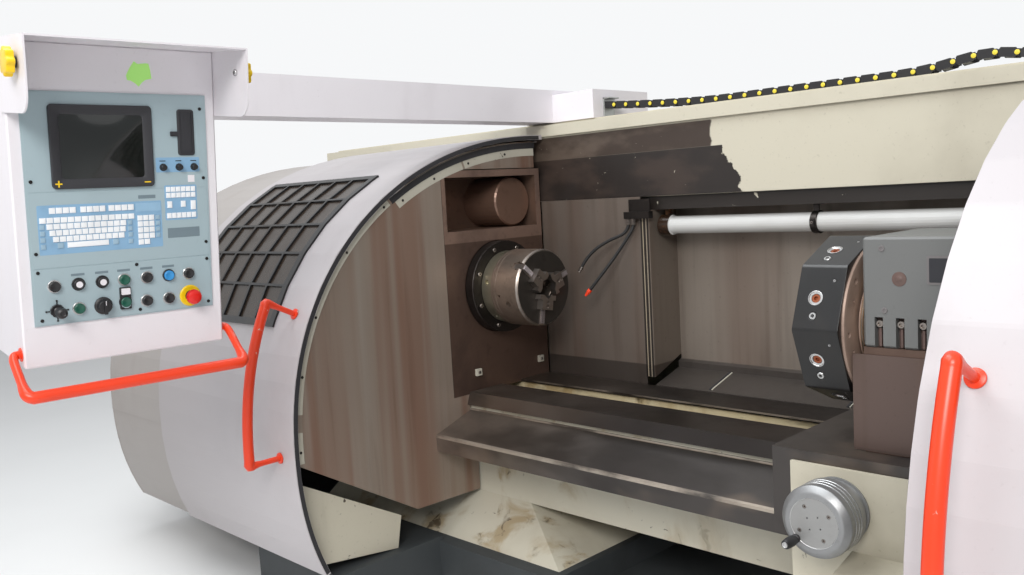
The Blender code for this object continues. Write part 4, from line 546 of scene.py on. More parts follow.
class Shape:
    """Closed shells collected in one mesh. Each adder takes an optional frame and a material number."""

    def __init__(self):
        self.verts = []
        self.faces = []
        self.looks = []

    def add(self, verts, faces, at=None, look=0):
        start = len(self.verts)
        self.verts += [tuple(v if at is None else at @ (Vector(v) * MM)) for v in verts]
        self.faces += [tuple(start + i for i in face) for face in faces]
        self.looks += [look] * len(faces)

    def box(self, low, high, at=None, look=0):
        verts = [(x, y, z) for x in (low[0], high[0]) for y in (low[1], high[1]) for z in (low[2], high[2])]
        faces = [(0, 1, 3, 2), (4, 6, 7, 5), (0, 4, 5, 1), (2, 3, 7, 6), (0, 2, 6, 4), (1, 5, 7, 3)]
        self.add(verts, faces, at, look)

    def stacked(self, loops, at=None, look=0, closed=False):
        """Skins a row of equal loops of points. Its ends are capped or, when closed, joined to each other."""
        n = len(loops[0])
        count = len(loops)
        faces = [] if closed else [tuple(reversed(range(n))), tuple(range((count - 1) * n, count * n))]
        for k in range(count if closed else count - 1):
            m = (k + 1) % count
            for i in range(n):
                j = (i + 1) % n
                faces.append((k * n + i, k * n + j, m * n + j, m * n + i))
        self.add([p for loop in loops for p in loop], faces, at, look)

    def prism(self, outline, low, high, at=None, look=0):
        """An outline in local x and y, extruded along local z."""
        self.stacked([[(x, y, z) for x, y in outline] for z in (low, high)], at, look)

    def turned(self, profile, steps=48, at=None, look=0, loop=False):
        """A profile of (along local z, radius), turned. With loop, its ends are joined to each other."""
        verts = []
        rings = []
        for z, radius in profile:
            count = steps if radius else 1
            rings.append(list(range(len(verts), len(verts) + count)))
            verts += [(*polar(radius, 360 * i / steps), z) for i in range(count)]
        faces = []
        for a, b in list(zip(rings, rings[1:])) + ([(rings[-1], rings[0])] if loop else []):
            for i in range(steps):
                j = (i + 1) % steps
                if len(a) == 1 and len(b) > 1:
                    faces.append((a[0], b[j], b[i]))
                elif len(b) == 1 and len(a) > 1:
                    faces.append((a[i], a[j], b[0]))
                elif len(a) > 1:
                    faces.append((a[i], a[j], b[j], b[i]))
        if not loop and len(rings[0]) > 1:
            faces.append(tuple(reversed(rings[0])))
        if not loop and len(rings[-1]) > 1:
            faces.append(tuple(rings[-1]))
        self.add(verts, faces, at, look)

    def rod(self, low, high, radius, steps, at, look=0):
        """A plain round bar between two heights."""
        self.turned([(low, 0), (low, radius), (high, radius), (high, 0)], steps, at, look)

    def tube(self, points, radius, steps=16, look=0, radii=None):
        """A round bar along world points, with flat ends."""
        loops = []
        side = None
        for i, point in enumerate(points):
            way = (points[min(len(points) - 1, i + 1)] - points[max(0, i - 1)]).normalized()
            if side is None:
                side = way.orthogonal().normalized()
            side = (side - way * side.dot(way)).normalized()
            other = way.cross(side)
            r = radius * (radii[i] if radii else 1)
            spots = [polar(r, 360 * k / steps) for k in range(steps)]
            loops.append([point + side * a + other * b for a, b in spots])
        self.stacked(loops, None, look)

    def recolour(self, looks, steps):
        """Gives bands of a turned profile, counted from its start, another material."""
        for band, look in looks:
            self.looks[band * steps:(band + 1) * steps] = [look] * steps

    def made(self, name, looks, body, bevel=0.0, angle=32):
        mesh = fresh_mesh(name, self)
        for look in looks:
            mesh.materials.append(M[look])
        mesh.polygons.foreach_set("material_index", self.looks)
        smoothed(mesh, angle)
        obj = linked(name, mesh)
        if bevel:
            break_edges(obj, bevel)
            keep_flats(obj)
        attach(obj, body)
        return obj


def polar(radius, degrees):
    angle = math.radians(degrees)
    return radius * math.cos(angle), radius * math.sin(angle)


def carved(piece, *shapes, bevel, angle=32):
    """Cuts shapes out of a piece for good, and breaks the edges that are left."""
    tools = []
    for i, shape in enumerate(shapes):
        name = f"tool_{piece.name}_{i}"
        tool = linked(name, fresh_mesh(name, shape))
        tool.data.materials.append(piece.data.materials[0])
        cut = piece.modifiers.new("cut", "BOOLEAN")
        cut.operation = "DIFFERENCE"
        cut.solver = "EXACT"
        cut.object = tool
        tools.append(tool)
    break_edges(piece, bevel, angle)
    graph = bpy.context.evaluated_depsgraph_get()
    mesh = bpy.data.meshes.new_from_object(piece.evaluated_get(graph), depsgraph=graph)
    piece.modifiers.clear()
    old = piece.data
    piece.data = mesh
    bpy.data.meshes.remove(old)
    smoothed(mesh, angle)
    for tool in tools:
        bpy.data.objects.remove(tool)
    keep_flats(piece)


def along_x(x, y, z):
    """A frame whose local z runs along +X and local y along +Y."""
    return Matrix.Translation(S(x, y, z)) @ rot(90, "Y")


def facing_front(x, y, z):
    """A frame whose local z runs along -Y, towards the front."""
    return Matrix.Translation(S(x, y, z)) @ rot(90, "X")


def towards(place, way):
    """A frame at a world point whose local z runs along a direction."""
    return Matrix.Translation(place) @ Vector(way).to_track_quat("Z", "Y").to_matrix().to_4x4()


def block(shape, low, high, look=0):
    """A box given in millimetres of the spindle frame."""
    shape.box(*(S(*(MM * c for c in corner)) for corner in (low, high)), None, look)


def round_rect(x0, y0, x1, y1, r, steps=4):
    corners = ((x1 - r, y1 - r, 0), (x0 + r, y1 - r, 90), (x0 + r, y0 + r, 180), (x1 - r, y0 + r, 270))
    spots = [(cx, cy, polar(r, a + 90 * k / steps)) for cx, cy, a in corners for k in range(steps + 1)]
    return [(cx + x, cy + y) for cx, cy, (x, y) in spots]


def spread(first, last, steps):
    return [first + (last - first) * i / steps for i in range(steps + 1)]


# The doors' barrel section, as on the solids

BARREL_Y, BARREL_Z, BARREL_DEPTH, BARREL_RISE, BARREL_POWER = 0.285, -0.489, 1.349, 1.125, 2.18


def barrel(angle, inset=0.0):
    c = math.cos(math.radians(angle))
    s = math.sin(math.radians(angle))
    share = 2 / BARREL_POWER
    y = BARREL_Y - (BARREL_DEPTH - inset) * abs(c) ** share
    z = BARREL_Z + (BARREL_RISE - inset) * math.copysign(abs(s) ** share, s)
    return y, z


def barrel_out(angle):
    """The barrel's outward direction in the plane of y and z."""
    way = (Vector(barrel(angle + 0.5)) - Vector(barrel(angle - 0.5))).normalized()
    return Vector((-way.y, way.x))


def arc_band(shape, x0, x1, first, last, outer, inner, steps=40, look=0):
    """A band that follows the barrel between two insets and two X."""
    angles = spread(first, last, steps)
    outline = [barrel(a, outer) for a in angles] + [barrel(a, inner) for a in reversed(angles)]
    n = len(angles)
    verts = [S(x, y, z) for x in (x0, x1) for y, z in outline]
    faces = []
    for i in range(n - 1):
        j = 2 * n - 1 - i
        faces += [(i, i + 1, j - 1, j), (2 * n + i, 2 * n + j, 2 * n + j - 1, 2 * n + i + 1)]
        faces += [(i, 2 * n + i, 2 * n + i + 1, i + 1), (j, j - 1, 2 * n + j - 1, 2 * n + j)]
    faces += [(0, 2 * n - 1, 4 * n - 1, 2 * n), (n - 1, 3 * n - 1, 3 * n, n)]
    shape.add(verts, faces, None, look)


def screw(shape, at, radius, height, look=0, socket=1, sides=6):
    """A screw head with a sunk socket, its foot at the frame and its head along local z."""
    deep = height * 0.35
    shape.turned([(0, radius), (height * 0.8, radius), (height, radius * 0.88), (height, radius * 0.5),
                  (deep, radius * 0.5), (deep, 0)], 18, at, look)
    shape.rod(deep, deep + height * 0.05, radius * 0.49, sides, at, socket)


# Coolant hoses: ribbed hose on the solids' own routes


def curve_through(points, steps=12):
    """A smooth line through points, its ends carried straight on."""
    line = [Vector(p) for p in points]
    line = [line[0] * 2 - line[1]] + line + [line[-1] * 2 - line[-2]]
    out = []
    for a, b, c, d in zip(line, line[1:], line[2:], line[3:]):
        for k in range(steps):
            t = k / steps
            bend = (a * 2 - b * 5 + c * 4 - d) * t * t + (b * 3 - a - c * 3 + d) * t ** 3
            out.append((b * 2 + (c - a) * t + bend) / 2)
    return out + [line[-2]]


def evenly(points, step):
    """Points at even steps along a line of points."""
    out = [points[0]]
    left = step
    for a, b in zip(points, points[1:]):
        span = (b - a).length
        done = 0.0
        while span - done >= left:
            done += left
            out.append(a.lerp(b, done / span))
            left = step
        left -= span - done
    if (out[-1] - points[-1]).length > step * 0.3:
        out.append(points[-1])
    return out


HOSE = 0.007
HOSE_Y = 0.2697
HOSE_TOP = 0.2577
RIB_PITCH = 0.0015
RIBS = (1.0, 1.0, 0.90, 0.90)
FRONT_ROUTE = ((0.262, HOSE_Y, HOSE_TOP), (0.262, HOSE_Y, HOSE_TOP - 0.020), (0.252, HOSE_Y - 0.006, 0.205),
               (0.195, 0.235, 0.115), (0.130, 0.195, 0.020), (0.094, 0.180, -0.026))
REAR_FALL = ((0.0, 0.0), (0.0, 0.0120), (0.0028, 0.0310), (0.0128, 0.0490), (0.0290, 0.0620),
             (0.0560, 0.0735),
             (0.0916, 0.0880), (0.1443, 0.1180), (0.1886, 0.1601), (0.2228, 0.2119))
REAR_ROUTE = tuple((0.238 - 0.934 * away, HOSE_Y - 0.358 * away, HOSE_TOP - fall) for away, fall in REAR_FALL)


def make_hose(name, route, node):
    line = evenly(curve_through([S(*p) for p in route]), RIB_PITCH)
    shape = Shape()
    shape.tube(line, HOSE, 18, 0, [RIBS[i % 4] for i in range(len(line))])
    hose = shape.made(name, ["rubber"], "machine", angle=80)
    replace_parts(hose, node)
    return hose, line, towards(line[-1], (line[-1] - line[-6]).normalized())


front_hose, front_line, front_end = make_hose("front_hose", FRONT_ROUTE, "hose_front")
rear_hose, rear_line, rear_end = make_hose("rear_hose", REAR_ROUTE, "hose_rear")

nozzle = Shape()
nozzle.turned([(0.4, 0), (0.4, 8.8), (2, 9.5), (13, 9.5), (14.5, 8.4), (16.5, 8.2), (30, 5.2), (33.8, 4.8),
               (33.8, 3.4), (28, 3.4), (28, 0)], 24, front_end)
nozzle_piece = nozzle.made("hose_nozzle", ["red"], "machine")
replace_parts(nozzle_piece, "coolant_nozzle")
tip = Shape()
tip.turned([(-26, 7.1), (-26, 8.6), (-12, 8.6), (-10, 7.9), (0, 6.2), (0, 7.4), (-12, 7.1)], 24, rear_end,
           loop=True)
tip_piece = tip.made("rear_hose_ferrule", ["bright"], "machine")

collars = Shape()
for x in (0.262, 0.238):
    collars.turned([(0, 7.4), (0, 11.2), (12, 11.2), (14, 9.8), (24, 9.8), (26, 7.4)],
                   6, Matrix.Translation(S(x, HOSE_Y, HOSE_TOP + 0.0001)) @ rot(180, "X"), loop=True)
collars.made("hose_fittings", ["bright"], "machine", 0.4)


# Console: its face frame has x to the right, y up and z out of the panel

FACE = Matrix.Translation(S(0.204, -1.748, 0.406)) @ rot(87.1, "Z") @ rot(6.7, "X")
PANEL = FACE @ rot(90, "X")
CONSOLE = "console_body"
KEY_BASE = 1.2
KEY_GAP = 1.6
UP_ROW = -186
RED_ROW = -247
STOP_PLACE = (162, RED_ROW)
DIAL_PLACE = (-64, RED_ROW)
STICK_PLACE = (-173, RED_ROW)


def on_panel(u, v, out=0, spin=0):
    return PANEL @ move(u, v, out) @ rot(spin, "Z")


def plates(shape, *rows):
    """Rounded plates on the panel, each with two corners, back, front, material and corner radius."""
    for u0, v0, u1, v1, back, front, look, r in rows:
        shape.prism(round_rect(u0, v0, u1, v1, r, 3), back, front, PANEL, look)


def framed(shape, u0, v0, u1, v1, section):
    """A closed frame on the panel whose section is given as (inset, corner radius, height)."""
    loops = []
    for inset, r, out in section:
        outline = round_rect(u0 + inset, v0 + inset, u1 - inset, v1 - inset, r, 5)
        loops.append([(x, y, out) for x, y in outline])
    shape.stacked(loops, PANEL, closed=True)


def key(shape, u0, v0, u1, v1, look=0):
    """A low key cap whose top is smaller than its foot."""
    loops = []
    for inset, height in ((0, 0), (0, 1.0), (0.6, 2.2), (1.3, 2.4)):
        a, b, c, d = u0 + inset, v0 + inset, u1 - inset, v1 - inset
        loops.append([(u, v, KEY_BASE + height) for u, v in ((a, b), (c, b), (c, d), (a, d))])
    shape.stacked(loops, PANEL, look)


def key_row(shape, u0, u1, v, height, count):
    pitch = (u1 - u0 + KEY_GAP) / count
    for i in range(count):
        left = u0 + pitch * i
        key(shape, left, v - height / 2, left + pitch - KEY_GAP, v + height / 2)


# Printed fields
fields = Shape()
plates(fields, (-220, -140, 220, 42, 0, 0.9, 0, 3), (-220.5, -279, 220.5, -142.5, 0, 1, 0, 3),
       (-220, 44, 220, 279, 0, 0.6, 0, 3), (-203, -108, 96, 12, 0.9, 1.2, 1, 3),
       (106, -41, 192, 50, 0.9, 1.2, 1, 3),
       (87, 84, 203, 122, 0.6, 1, 1, 3), (170, 57, 188, 75.5, 0.6, 1, 2, 1),
       (110, -88, 196, -62, 0.9, 1.1, 3, 1),
       (30, -14, 94, 7.5, 1.2, 1.5, 4, 2), (38, 18.5, 82, 27.5, 0.9, 1.1, 3, 1))
for u in (-120, -63, -9, 49, 106):
    plates(fields, (u - 16, -165, u + 16, -159, 1, 1.2, 3, 0.8))
fields.made("panel_fields", ["panel", "blue", "white", "panel_shade", "blue_light"], CONSOLE)

# Keyboard, number block and keypad
keys = Shape()
for row in ((-176, -115, -1.5, 14.5, 4), (-104, -45, -1.5, 14.5, 4), (-37, 25, -1.5, 14.5, 4),
            (-199, 25, -24.5, 13.5, 14), (-184, 4, -40, 13.5, 12), (-178, 2, -55.5, 13.5, 12),
            (-171, -2, -71, 13.5, 11), (33, 75.5, -30.5, 13.5, 3), (33, 75.5, -46, 13.5, 3),
            (33, 75.5, -61.5, 13.5, 3), (33, 75.5, -77, 13.5, 3), (33, 62, -92.5, 13.5, 2),
            (110, 188, 39.5, 13, 6), (110, 188, 24, 13, 6), (110, 188, -29, 14, 6)):
    key_row(keys, *row)
for row in ((-139, -93.2, -41, -80), (112, -9, 124.5, 8.5), (148, -7.5, 160.5, 8.5), (174.5, -15.5, 188, 8.5),
            (-162, -93.2, -148, -80, 1), (-31, -93.2, -17, -80, 1)):
    key(keys, *row)
for v in (-40, -55.5, -71, -88):
    key(keys, 8, v - 5.8, 19, v + 5.8, 1)
    key(keys, -199.5, v - 5.8, -188.5, v + 5.8, 1)
for v in (-30.5, -46, -61.5, -77):
    key(keys, 79, v - 5.6, 90, v + 5.6, 1)
keys.made("keyboard_keys", ["key_white", "key_grey"], CONSOLE)

# Screen: bezel with rounded corners and a stepped mouth, a cross and a dash on it, and domed glass
SCREEN = (-165, 50, 80, 252)
bezel = Shape()
framed(bezel, *SCREEN, ((0, 10, 0.4), (0, 10, 6.2), (2, 9, 8), (19, 8, 7.6), (24, 8, 4), (24, 8, 0.4)))
bezel_piece = bezel.made("screen_bezel", ["bezel"], CONSOLE)
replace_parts(bezel_piece, "screen")

marks = Shape()
quarter = ((-8, -1.6), (-1.6, -1.6), (-1.6, -8))
cross = []
for _ in range(4):
    cross += [(x - 151, y + 62.5) for x, y in quarter]
    quarter = [(-y, x) for x, y in quarter]
marks.prism(cross, 7.9, 8.4, PANEL)
marks.prism([(54, 60), (70, 60), (70, 63), (54, 63)], 7.9, 8.4, PANEL)
marks.made("screen_marks", ["yellow"], CONSOLE)

GLASS_INSET = 23.5
COLUMNS, ROWS = 16, 12
glass = Shape()
u0, v0, u1, v1 = SCREEN
verts = []
for layer in (0, 1):
    for u in spread(u0 + GLASS_INSET, u1 - GLASS_INSET, COLUMNS):
        for v in spread(v0 + GLASS_INSET, v1 - GLASS_INSET, ROWS):
            a = 2 * (u - u0 - GLASS_INSET) / (u1 - u0 - 2 * GLASS_INSET) - 1
            b = 2 * (v - v0 - GLASS_INSET) / (v1 - v0 - 2 * GLASS_INSET) - 1
            verts.append((u, v, 4.2 + 2.2 * (1 - a ** 2) * (1 - b ** 2) if layer else 0.6))
step = ROWS + 1
stride = (COLUMNS + 1) * step
faces = []
for i in range(COLUMNS):
    for j in range(ROWS):
        a = i * step + j
        quad = (a, a + step, a + step + 1, a + 1)
        faces += [tuple(reversed(quad)), tuple(stride + k for k in quad)]
rim = [i * step for i in range(COLUMNS + 1)] + [COLUMNS * step + j for j in range(1, step)]
rim += [i * step + ROWS for i in range(COLUMNS - 1, -1, -1)] + list(range(ROWS - 1, 0, -1))
faces += [(a, b, stride + b, stride + a) for a, b in zip(rim, rim[1:] + rim[:1])]
glass.add(verts, faces, PANEL)
glass.made("screen_glass", ["glass"], CONSOLE)

# Push buttons, rings, knobs and their collars
CAP = 13.1
buttons = Shape()


def button(u, v, cap, ring=1, inner=None, proud=11.2):
    at = on_panel(u, v)
    buttons.turned([(0.8, CAP), (0.8, 16.2), (3.4, 16.2), (4.6, 15), (4.6, CAP)], 28, at, ring, loop=True)
    buttons.turned([(0.9, 0), (0.9, CAP - 0.1), (proud - 1.4, CAP - 0.1), (proud, CAP - 1.6),
                    (proud, CAP * 0.62),
                    (proud - 0.8, CAP * 0.5), (proud - 0.8, 0)], 28, at, cap)
    if inner is not None:
        buttons.turned([(proud - 1.2, 0), (proud - 1.2, CAP * 0.62), (proud + 0.6, CAP * 0.60),
                        (proud + 0.6, 0)],
                       28, at, inner)


for row in ((-176, UP_ROW, 0), (-120, UP_ROW, 0, 0, 2), (-63, UP_ROW, 0, 0, 2), (-9, UP_ROW, 3),
            (49, UP_ROW, 0),
            (106, UP_ROW, 4, 0), (160, UP_ROW, 0), (-122, RED_ROW, 3), (46, RED_ROW, 0), (104, RED_ROW, 0),
            (-9, RED_ROW + 3, 3, 0, None, 11.6)):
    button(*row)
plates(buttons, (-22.5, -262.5, 5, -205.5, 0.9, 6.2, 0, 2), (-19.5, -224, 2, -208, 6, 11.2, 2, 1.5))
for u in (106, 148, 188):
    buttons.turned([(0.9, 0), (0.9, 9.8), (3, 9), (3.4, 7.5), (12, 7.1), (13.2, 6), (13.2, 0)], 24,
                   on_panel(u, 97))
    plates(buttons, (u - 9.5, 112, u + 6.5, 114.2, 1, 1.3, 0, 0.8))
at = on_panel(*STOP_PLACE)
buttons.turned([(0.9, 12.2), (0.9, 28.5), (3, 28.5), (5.4, 26.2), (5.4, 12.2)], 40, at, 5, loop=True)
buttons.turned([(5, 12.1), (5, 15), (14.5, 13.2), (14.5, 12.1)], 32, at, 0, loop=True)
buttons.turned([(0.9, 0), (0.9, 16.5), (3, 16.5), (4.4, 15), (4.4, 0)], 32, on_panel(*STICK_PLACE))
for spin in (0, 90, 180, 270):
    arm = on_panel(*STICK_PLACE, 0, spin)
    buttons.box((15, -1.3, 1), (25, 1.3, 2.6), arm)
    buttons.rod(1, 2.8, 2.4, 12, arm @ move(25, 0, 0))
buttons.made("console_buttons", ["plastic", "chrome", "white", "green", "button_blue", "yellow"], CONSOLE)

# Panel screws, the drive's mouth, the green paper patch on the visor's back and the screws on the cheeks
fastenings = Shape()
for u, v in ((-211.5, 69), (-211.5, -104), (-210.5, -150), (-208.5, -268), (209, 247), (212, 67),
             (212.5, -104.5),
             (212.5, -151), (212.5, -268.5), (24.6, -150), (27.7, -268.6)):
    screw(fastenings, on_panel(u, v, 0.6), 4.2, 2.4)
fastenings.made("panel_screws", ["dark", "plastic"], CONSOLE)

drive = Shape()
framed(drive, 150, 130, 188, 242, ((-3, 7, 0.6), (-3, 7, 3), (-1, 6, 4), (3, 5, 3.8), (3, 5, 0.6)))
plates(drive, (151, 131, 187, 241, 0.2, 1.3, 0, 3), (128, 176, 148, 188.5, 0.6, 6, 0, 2),
       (126, 179, 138, 185.5, 5, 10, 0, 2), (157, 196, 181, 226, 1.2, 2.2, 0, 2))
drive.made("drive_door", ["bezel"], CONSOLE)

patch = Shape()
patch.prism([(46.3, 360.6), (55.4, 354.9), (75.4, 357.2), (82.8, 356.6), (86.3, 340.6), (88.6, 319.9),
             (73.1, 316.3),
             (64, 309.3), (55.4, 299.1), (47.9, 306.4), (36.4, 313.1), (27.8, 314.2), (25.7, 325.8),
             (30.5, 335.6),
             (36.8, 346.8)], -3.8, -3.4, PANEL)
patch.made("green_patch", ["patch"], CONSOLE)
cheeks = Shape()
for side in (-1, 1):
    screw(cheeks, FACE @ move(side * 253, -130, 340) @ rot(-90 * side, "Y"), 8.5, 6)
cheeks.made("cheek_screws", ["chrome", "plastic"], CONSOLE)

# Star knobs with soft lobes
for word, side in (("left", -1), ("right", 1)):
    star = Shape()
    at = FACE @ move(side * 257, -130, 340) @ rot(90 * side, "Y")
    loops = []
    for inset, out in ((2.2, 8), (0.6, 9), (0, 11), (0, 22.5), (0.8, 25), (3.4, 26)):
        lobed = [(30 * (1 + 0.09 * math.cos(math.radians(8 * a))) - inset, a) for a in spread(0, 356.25, 95)]
        loops.append([(*polar(r, a), out) for r, a in lobed])
    star.stacked(loops, at)
    star.rod(0.4, 7.8, 13, 32, at, 1)
    star_piece = star.made(f"{word}_star_knob", ["yellow", "plastic"], f"{word}_knob_body")
    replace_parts(star_piece, f"{word}_knob")

# Stop button, dial and joystick
stop = Shape()
stop.turned([(10.6, 0), (10.6, 8), (22, 8), (22, 18.8), (23.6, 20), (29.6, 20), (34, 18), (37, 13), (38, 6),
             (38, 0)],
            40, on_panel(*STOP_PLACE))
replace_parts(stop.made("stop_cap", ["stop"], "e_stop_body"), "e_stop")

dial = Shape()
at = on_panel(*DIAL_PLACE)
dial.turned([(1.2, 0), (1.2, 22), (5, 22), (6.6, 20.5), (8, 17.2), (19, 16), (20.8, 14.5), (20.8, 0)], 48, at)
for i in range(24):
    dial.box((16.2, -0.9, 8.2), (17.2, 0.9, 18.8), on_panel(*DIAL_PLACE, 0, 15 * i))
dial.box((-3.8, -19.5, 19.5), (3.8, 15.5, 25), at)
dial.box((-0.8, 4, 24.9), (0.8, 15, 25.3), at, 1)
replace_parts(dial.made("override_knob", ["plastic", "white"], "dial_body", 0.5), "override_dial")

stick = Shape()
stick.turned([(0, 0), (4, 9.8), (6, 10.5), (7.5, 8.5), (10, 9.5), (11.5, 6), (20, 5.2), (22.5, 10),
              (26, 12.8), (33, 14),
              (40, 12), (43, 8), (43.6, 6.6), (42.4, 5), (42.4, 0)], 32, on_panel(*STICK_PLACE, 4.6))
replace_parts(stick.made("joystick_grip", ["plastic"], "joystick_body"), "joystick")

# Console handle: round tube with bent, thinner ends and foot plates
HALF_HANDLE = [(-253.3, 30, -352), (-262, 30, -352), (-269, 27, -353), (-273.5, 18, -358), (-275, 4, -368),
               (-275, -45, -404), (-274.8, -62, -416), (-272, -76, -426), (-263, -85, -432)]


def on_face(points):
    return [FACE @ (Vector(p) * MM) for p in points]


handle = Shape()
line = curve_through(on_face(HALF_HANDLE), 4)
line += on_face((u, -85, -432) for u in spread(-230, 230, 8))
line += curve_through(on_face((-u, y, v) for u, y, v in reversed(HALF_HANDLE)), 4)
depths = [-(FACE.inverted() @ point).y for point in line]
handle.tube(line, 0.015, 24, 0, [0.70 + 0.30 * min(1.0,
                                                   max(0.0, (depth - 0.045) / 0.030)) for depth in depths])
for side in (-1, 1):
    at = FACE @ move(side * 253.3, 30, -352) @ rot(90 * side, "Y")
    handle.turned([(0, 0), (0, 17.5), (2.2, 17), (3, 15), (3, 0)], 32, at)
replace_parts(handle.made("console_grab_bar", ["red"], CONSOLE, angle=50), "console_handle")


# Chuck, adaptor and jaws: turned bodies with grooves, holes and slots

JAWS = (-100, 20, 140)
AXIS = along_x(0, 0, 0)


def jaw_frame(turn):
    """Spindle frame turned so that local y points along the jaw and local x along the axis."""
    return Matrix.Translation(ROOT) @ rot(turn, "X")


def outward(turn, along):
    """A frame on the axis whose local z runs outwards at a turn."""
    return jaw_frame(turn) @ move(along, 0, 0) @ rot(-90, "X")


chuck = Shape()
chuck.turned([(-150, 46.5), (-150, 155.5), (-148.5, 157), (-142, 157), (-141.2, 155), (-140, 155),
              (-139.2, 157),
              (-124, 157), (-123.4, 155.8), (-122.4, 155.8), (-121.8, 157), (-7.5, 157), (-1.2, 152),
              (-1.2, 150.5),
              (0, 149.5), (0, 60), (-1.6, 59), (-1.6, 48), (-3, 46.5)], 128, AXIS, loop=True)
chuck.recolour(((11, 1), (12, 1)), 128)
chuck_piece = chuck.made("chuck_shell", ["chuck", "bright", "chuck_face"], "spindle", angle=25)
slots = Shape()
TEE = [(-50, 14.2), (-50, -14.2), (-30, -14.2), (-30, -20.5), (-18, -20.5), (-18, -14.2), (1, -14.2),
       (1, 14.2),
       (-18, 14.2), (-18, 20.5), (-30, 20.5), (-30, 14.2)]
for turn in JAWS:
    slots.prism(TEE, 40, 170, outward(turn, 0))
for turn in (-40, 80, 200):
    slots.rod(140, 160, 11.5, 28, outward(turn, -60))
for turn in (-172, -52, 68):
    slots.rod(148, 160, 5, 20, outward(turn, -102))
carved(chuck_piece, slots, bevel=0.6)
for polygon in chuck_piece.data.polygons:
    if polygon.center.x > ROOT.x - 0.0018 and polygon.normal.x > 0.7:
        polygon.material_index = 2
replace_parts(chuck_piece, "chuck_body")

adaptor = Shape()
adaptor.turned([(-209.8, 40), (-209.8, 148), (-208, 150), (-153, 150), (-151, 148), (-150.5, 40)], 112, AXIS,
               loop=True)
adaptor_piece = adaptor.made("adaptor_ring", ["ring"], "spindle", angle=25)
holes = Shape()
for turn in range(-132, 228, 60):
    holes.rod(136, 156, 10.5, 24, outward(turn, -180))
carved(adaptor_piece, holes, bevel=0.8)
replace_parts(adaptor_piece, "chuck_adaptor")

nose = Shape()
nose.turned([(-257.5, 192.4), (-257.5, 193), (-218, 193), (-214, 190), (-210.4, 184), (-210.1, 152),
             (-210.2, 150),
             (-211, 150), (-211, 183)], 96, AXIS, loop=True)
nose.made("nose_rim", ["dark"], "spindle", angle=25)
nose_screws = Shape()
for k in range(8):
    screw(nose_screws, jaw_frame(22.5 + 45 * k) @ move(-210.3, 170, 0) @ rot(90, "Y"), 8.5, 6)
nose_screws.made("nose_screws", ["bright", "plastic"], "spindle")

# Bolts in the jaws' holes, and a serrated strip on each jaw's tongue
for index, turn in enumerate(JAWS, 1):
    at = jaw_frame(turn)
    bolts = Shape()
    outline = [(3.6, 90.5)]
    for y in spread(91.5, 142.5, 17):
        outline += [(4, y), (9.4, y + 0.4), (9.4, y + 2.1), (7.2, y + 2.6)]
    del outline[1]
    bolts.prism(outline + [(3.6, 145.5)], -8.8, 8.8, at)
    for y in (62, 78):
        screw(bolts, at @ move(18.1, y, 0) @ rot(90, "Y"), 6.8, 8, 1, 2)
    bolts.made(f"jaw_{index}_bolts", ["jaw", "bright", "plastic"], f"jaw_{index}", 0.2)
    break_edges(NODES[f"chuck_jaw_{index}"], 0.9)


# Turret: eight-sided drum with bushes and screws, flange, stepped ring and housing

DRUM = S(1.326, -0.200, -0.026)
DRUM_RADIUS = 240
HALF_SIDE = 22.5
FLAT = DRUM_RADIUS * math.cos(math.radians(HALF_SIDE))
lay = Matrix.Translation(DRUM) @ Matrix(((0, 0, 1, 0), (1, 0, 0, 0), (0, 1, 0, 0), (0, 0, 0, 1)))


def station(i, shift=0, depth=0, x=54.6):
    """A frame on one side of the drum whose local z runs outwards."""
    return Matrix.Translation(DRUM) @ rot(HALF_SIDE + 45 * i, "X") @ move(x, FLAT + depth, shift) @ rot(-90,
                                                                                                        "X")


def around(frame, radius, degrees, out=0):
    """A place on a circle about a frame's local z."""
    return frame @ move(*polar(radius, degrees), out)


drum = Shape()
outline = []
for i in range(8):
    for k in (-1.8, -0.6, 0.6, 1.8):
        reach = FLAT / math.cos(math.radians(HALF_SIDE - abs(k))) - 1.2 + abs(k) * 0.4
        outline.append(polar(reach, 45 * i + k))
drum.prism(outline, 0, 130, lay)
drum_piece = drum.made("drum_block", ["drum", "copper_dark"], "turret_body")
bores = Shape()
for i in range(8):
    bores.rod(-46, 20, 20, 36, station(i))
    bores.rod(-9, 20, 11.2, 24, station(i, 50))
    bores.rod(-6, 20, 4, 16, station(i, -50, 0, 100))
hub = Shape()
hub.rod(-20, 4, 150, 64, lay)
carved(drum_piece, bores, hub, bevel=2.2, angle=28)
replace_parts(drum_piece, "turret_drum")
fills = Shape()
for i in range(8):
    at = station(i)
    fills.turned([(-44, 12.5), (-44, 19.7), (-1, 19.7), (0.3, 20.6), (0.6, 19), (-1.8, 17.6), (-1.8, 14),
                  (-3, 12.5)],
                 36, at, 2, loop=True)
    fills.turned([(-42, 0), (-42, 12.4), (-5, 12.4), (-4, 11), (-4, 6), (-10, 5), (-10, 0)], 28, at, 1)
    screw(fills, station(i, 50, -8.8), 10.4, 9.6, 2, 3)
    screw(fills, station(i, -50, -5.8, 100), 3.6, 5.2, 2, 3, 5)
fills.made("drum_bushes", ["copper", "copper_dark", "chrome", "plastic"], "turret_body")
cover = Shape()
cover.turned([(3, 0), (3, 60), (0.8, 62), (0.8, 147), (2.2, 149), (4, 148.5), (4, 0)], 72, lay)
for k in range(6):
    screw(cover, around(lay, 110, 60 * k + 30, 1.2) @ rot(180, "X"), 8, 4.6, 1, 2)
cover.made("drum_cover", ["black", "bright", "plastic"], "turret_body")

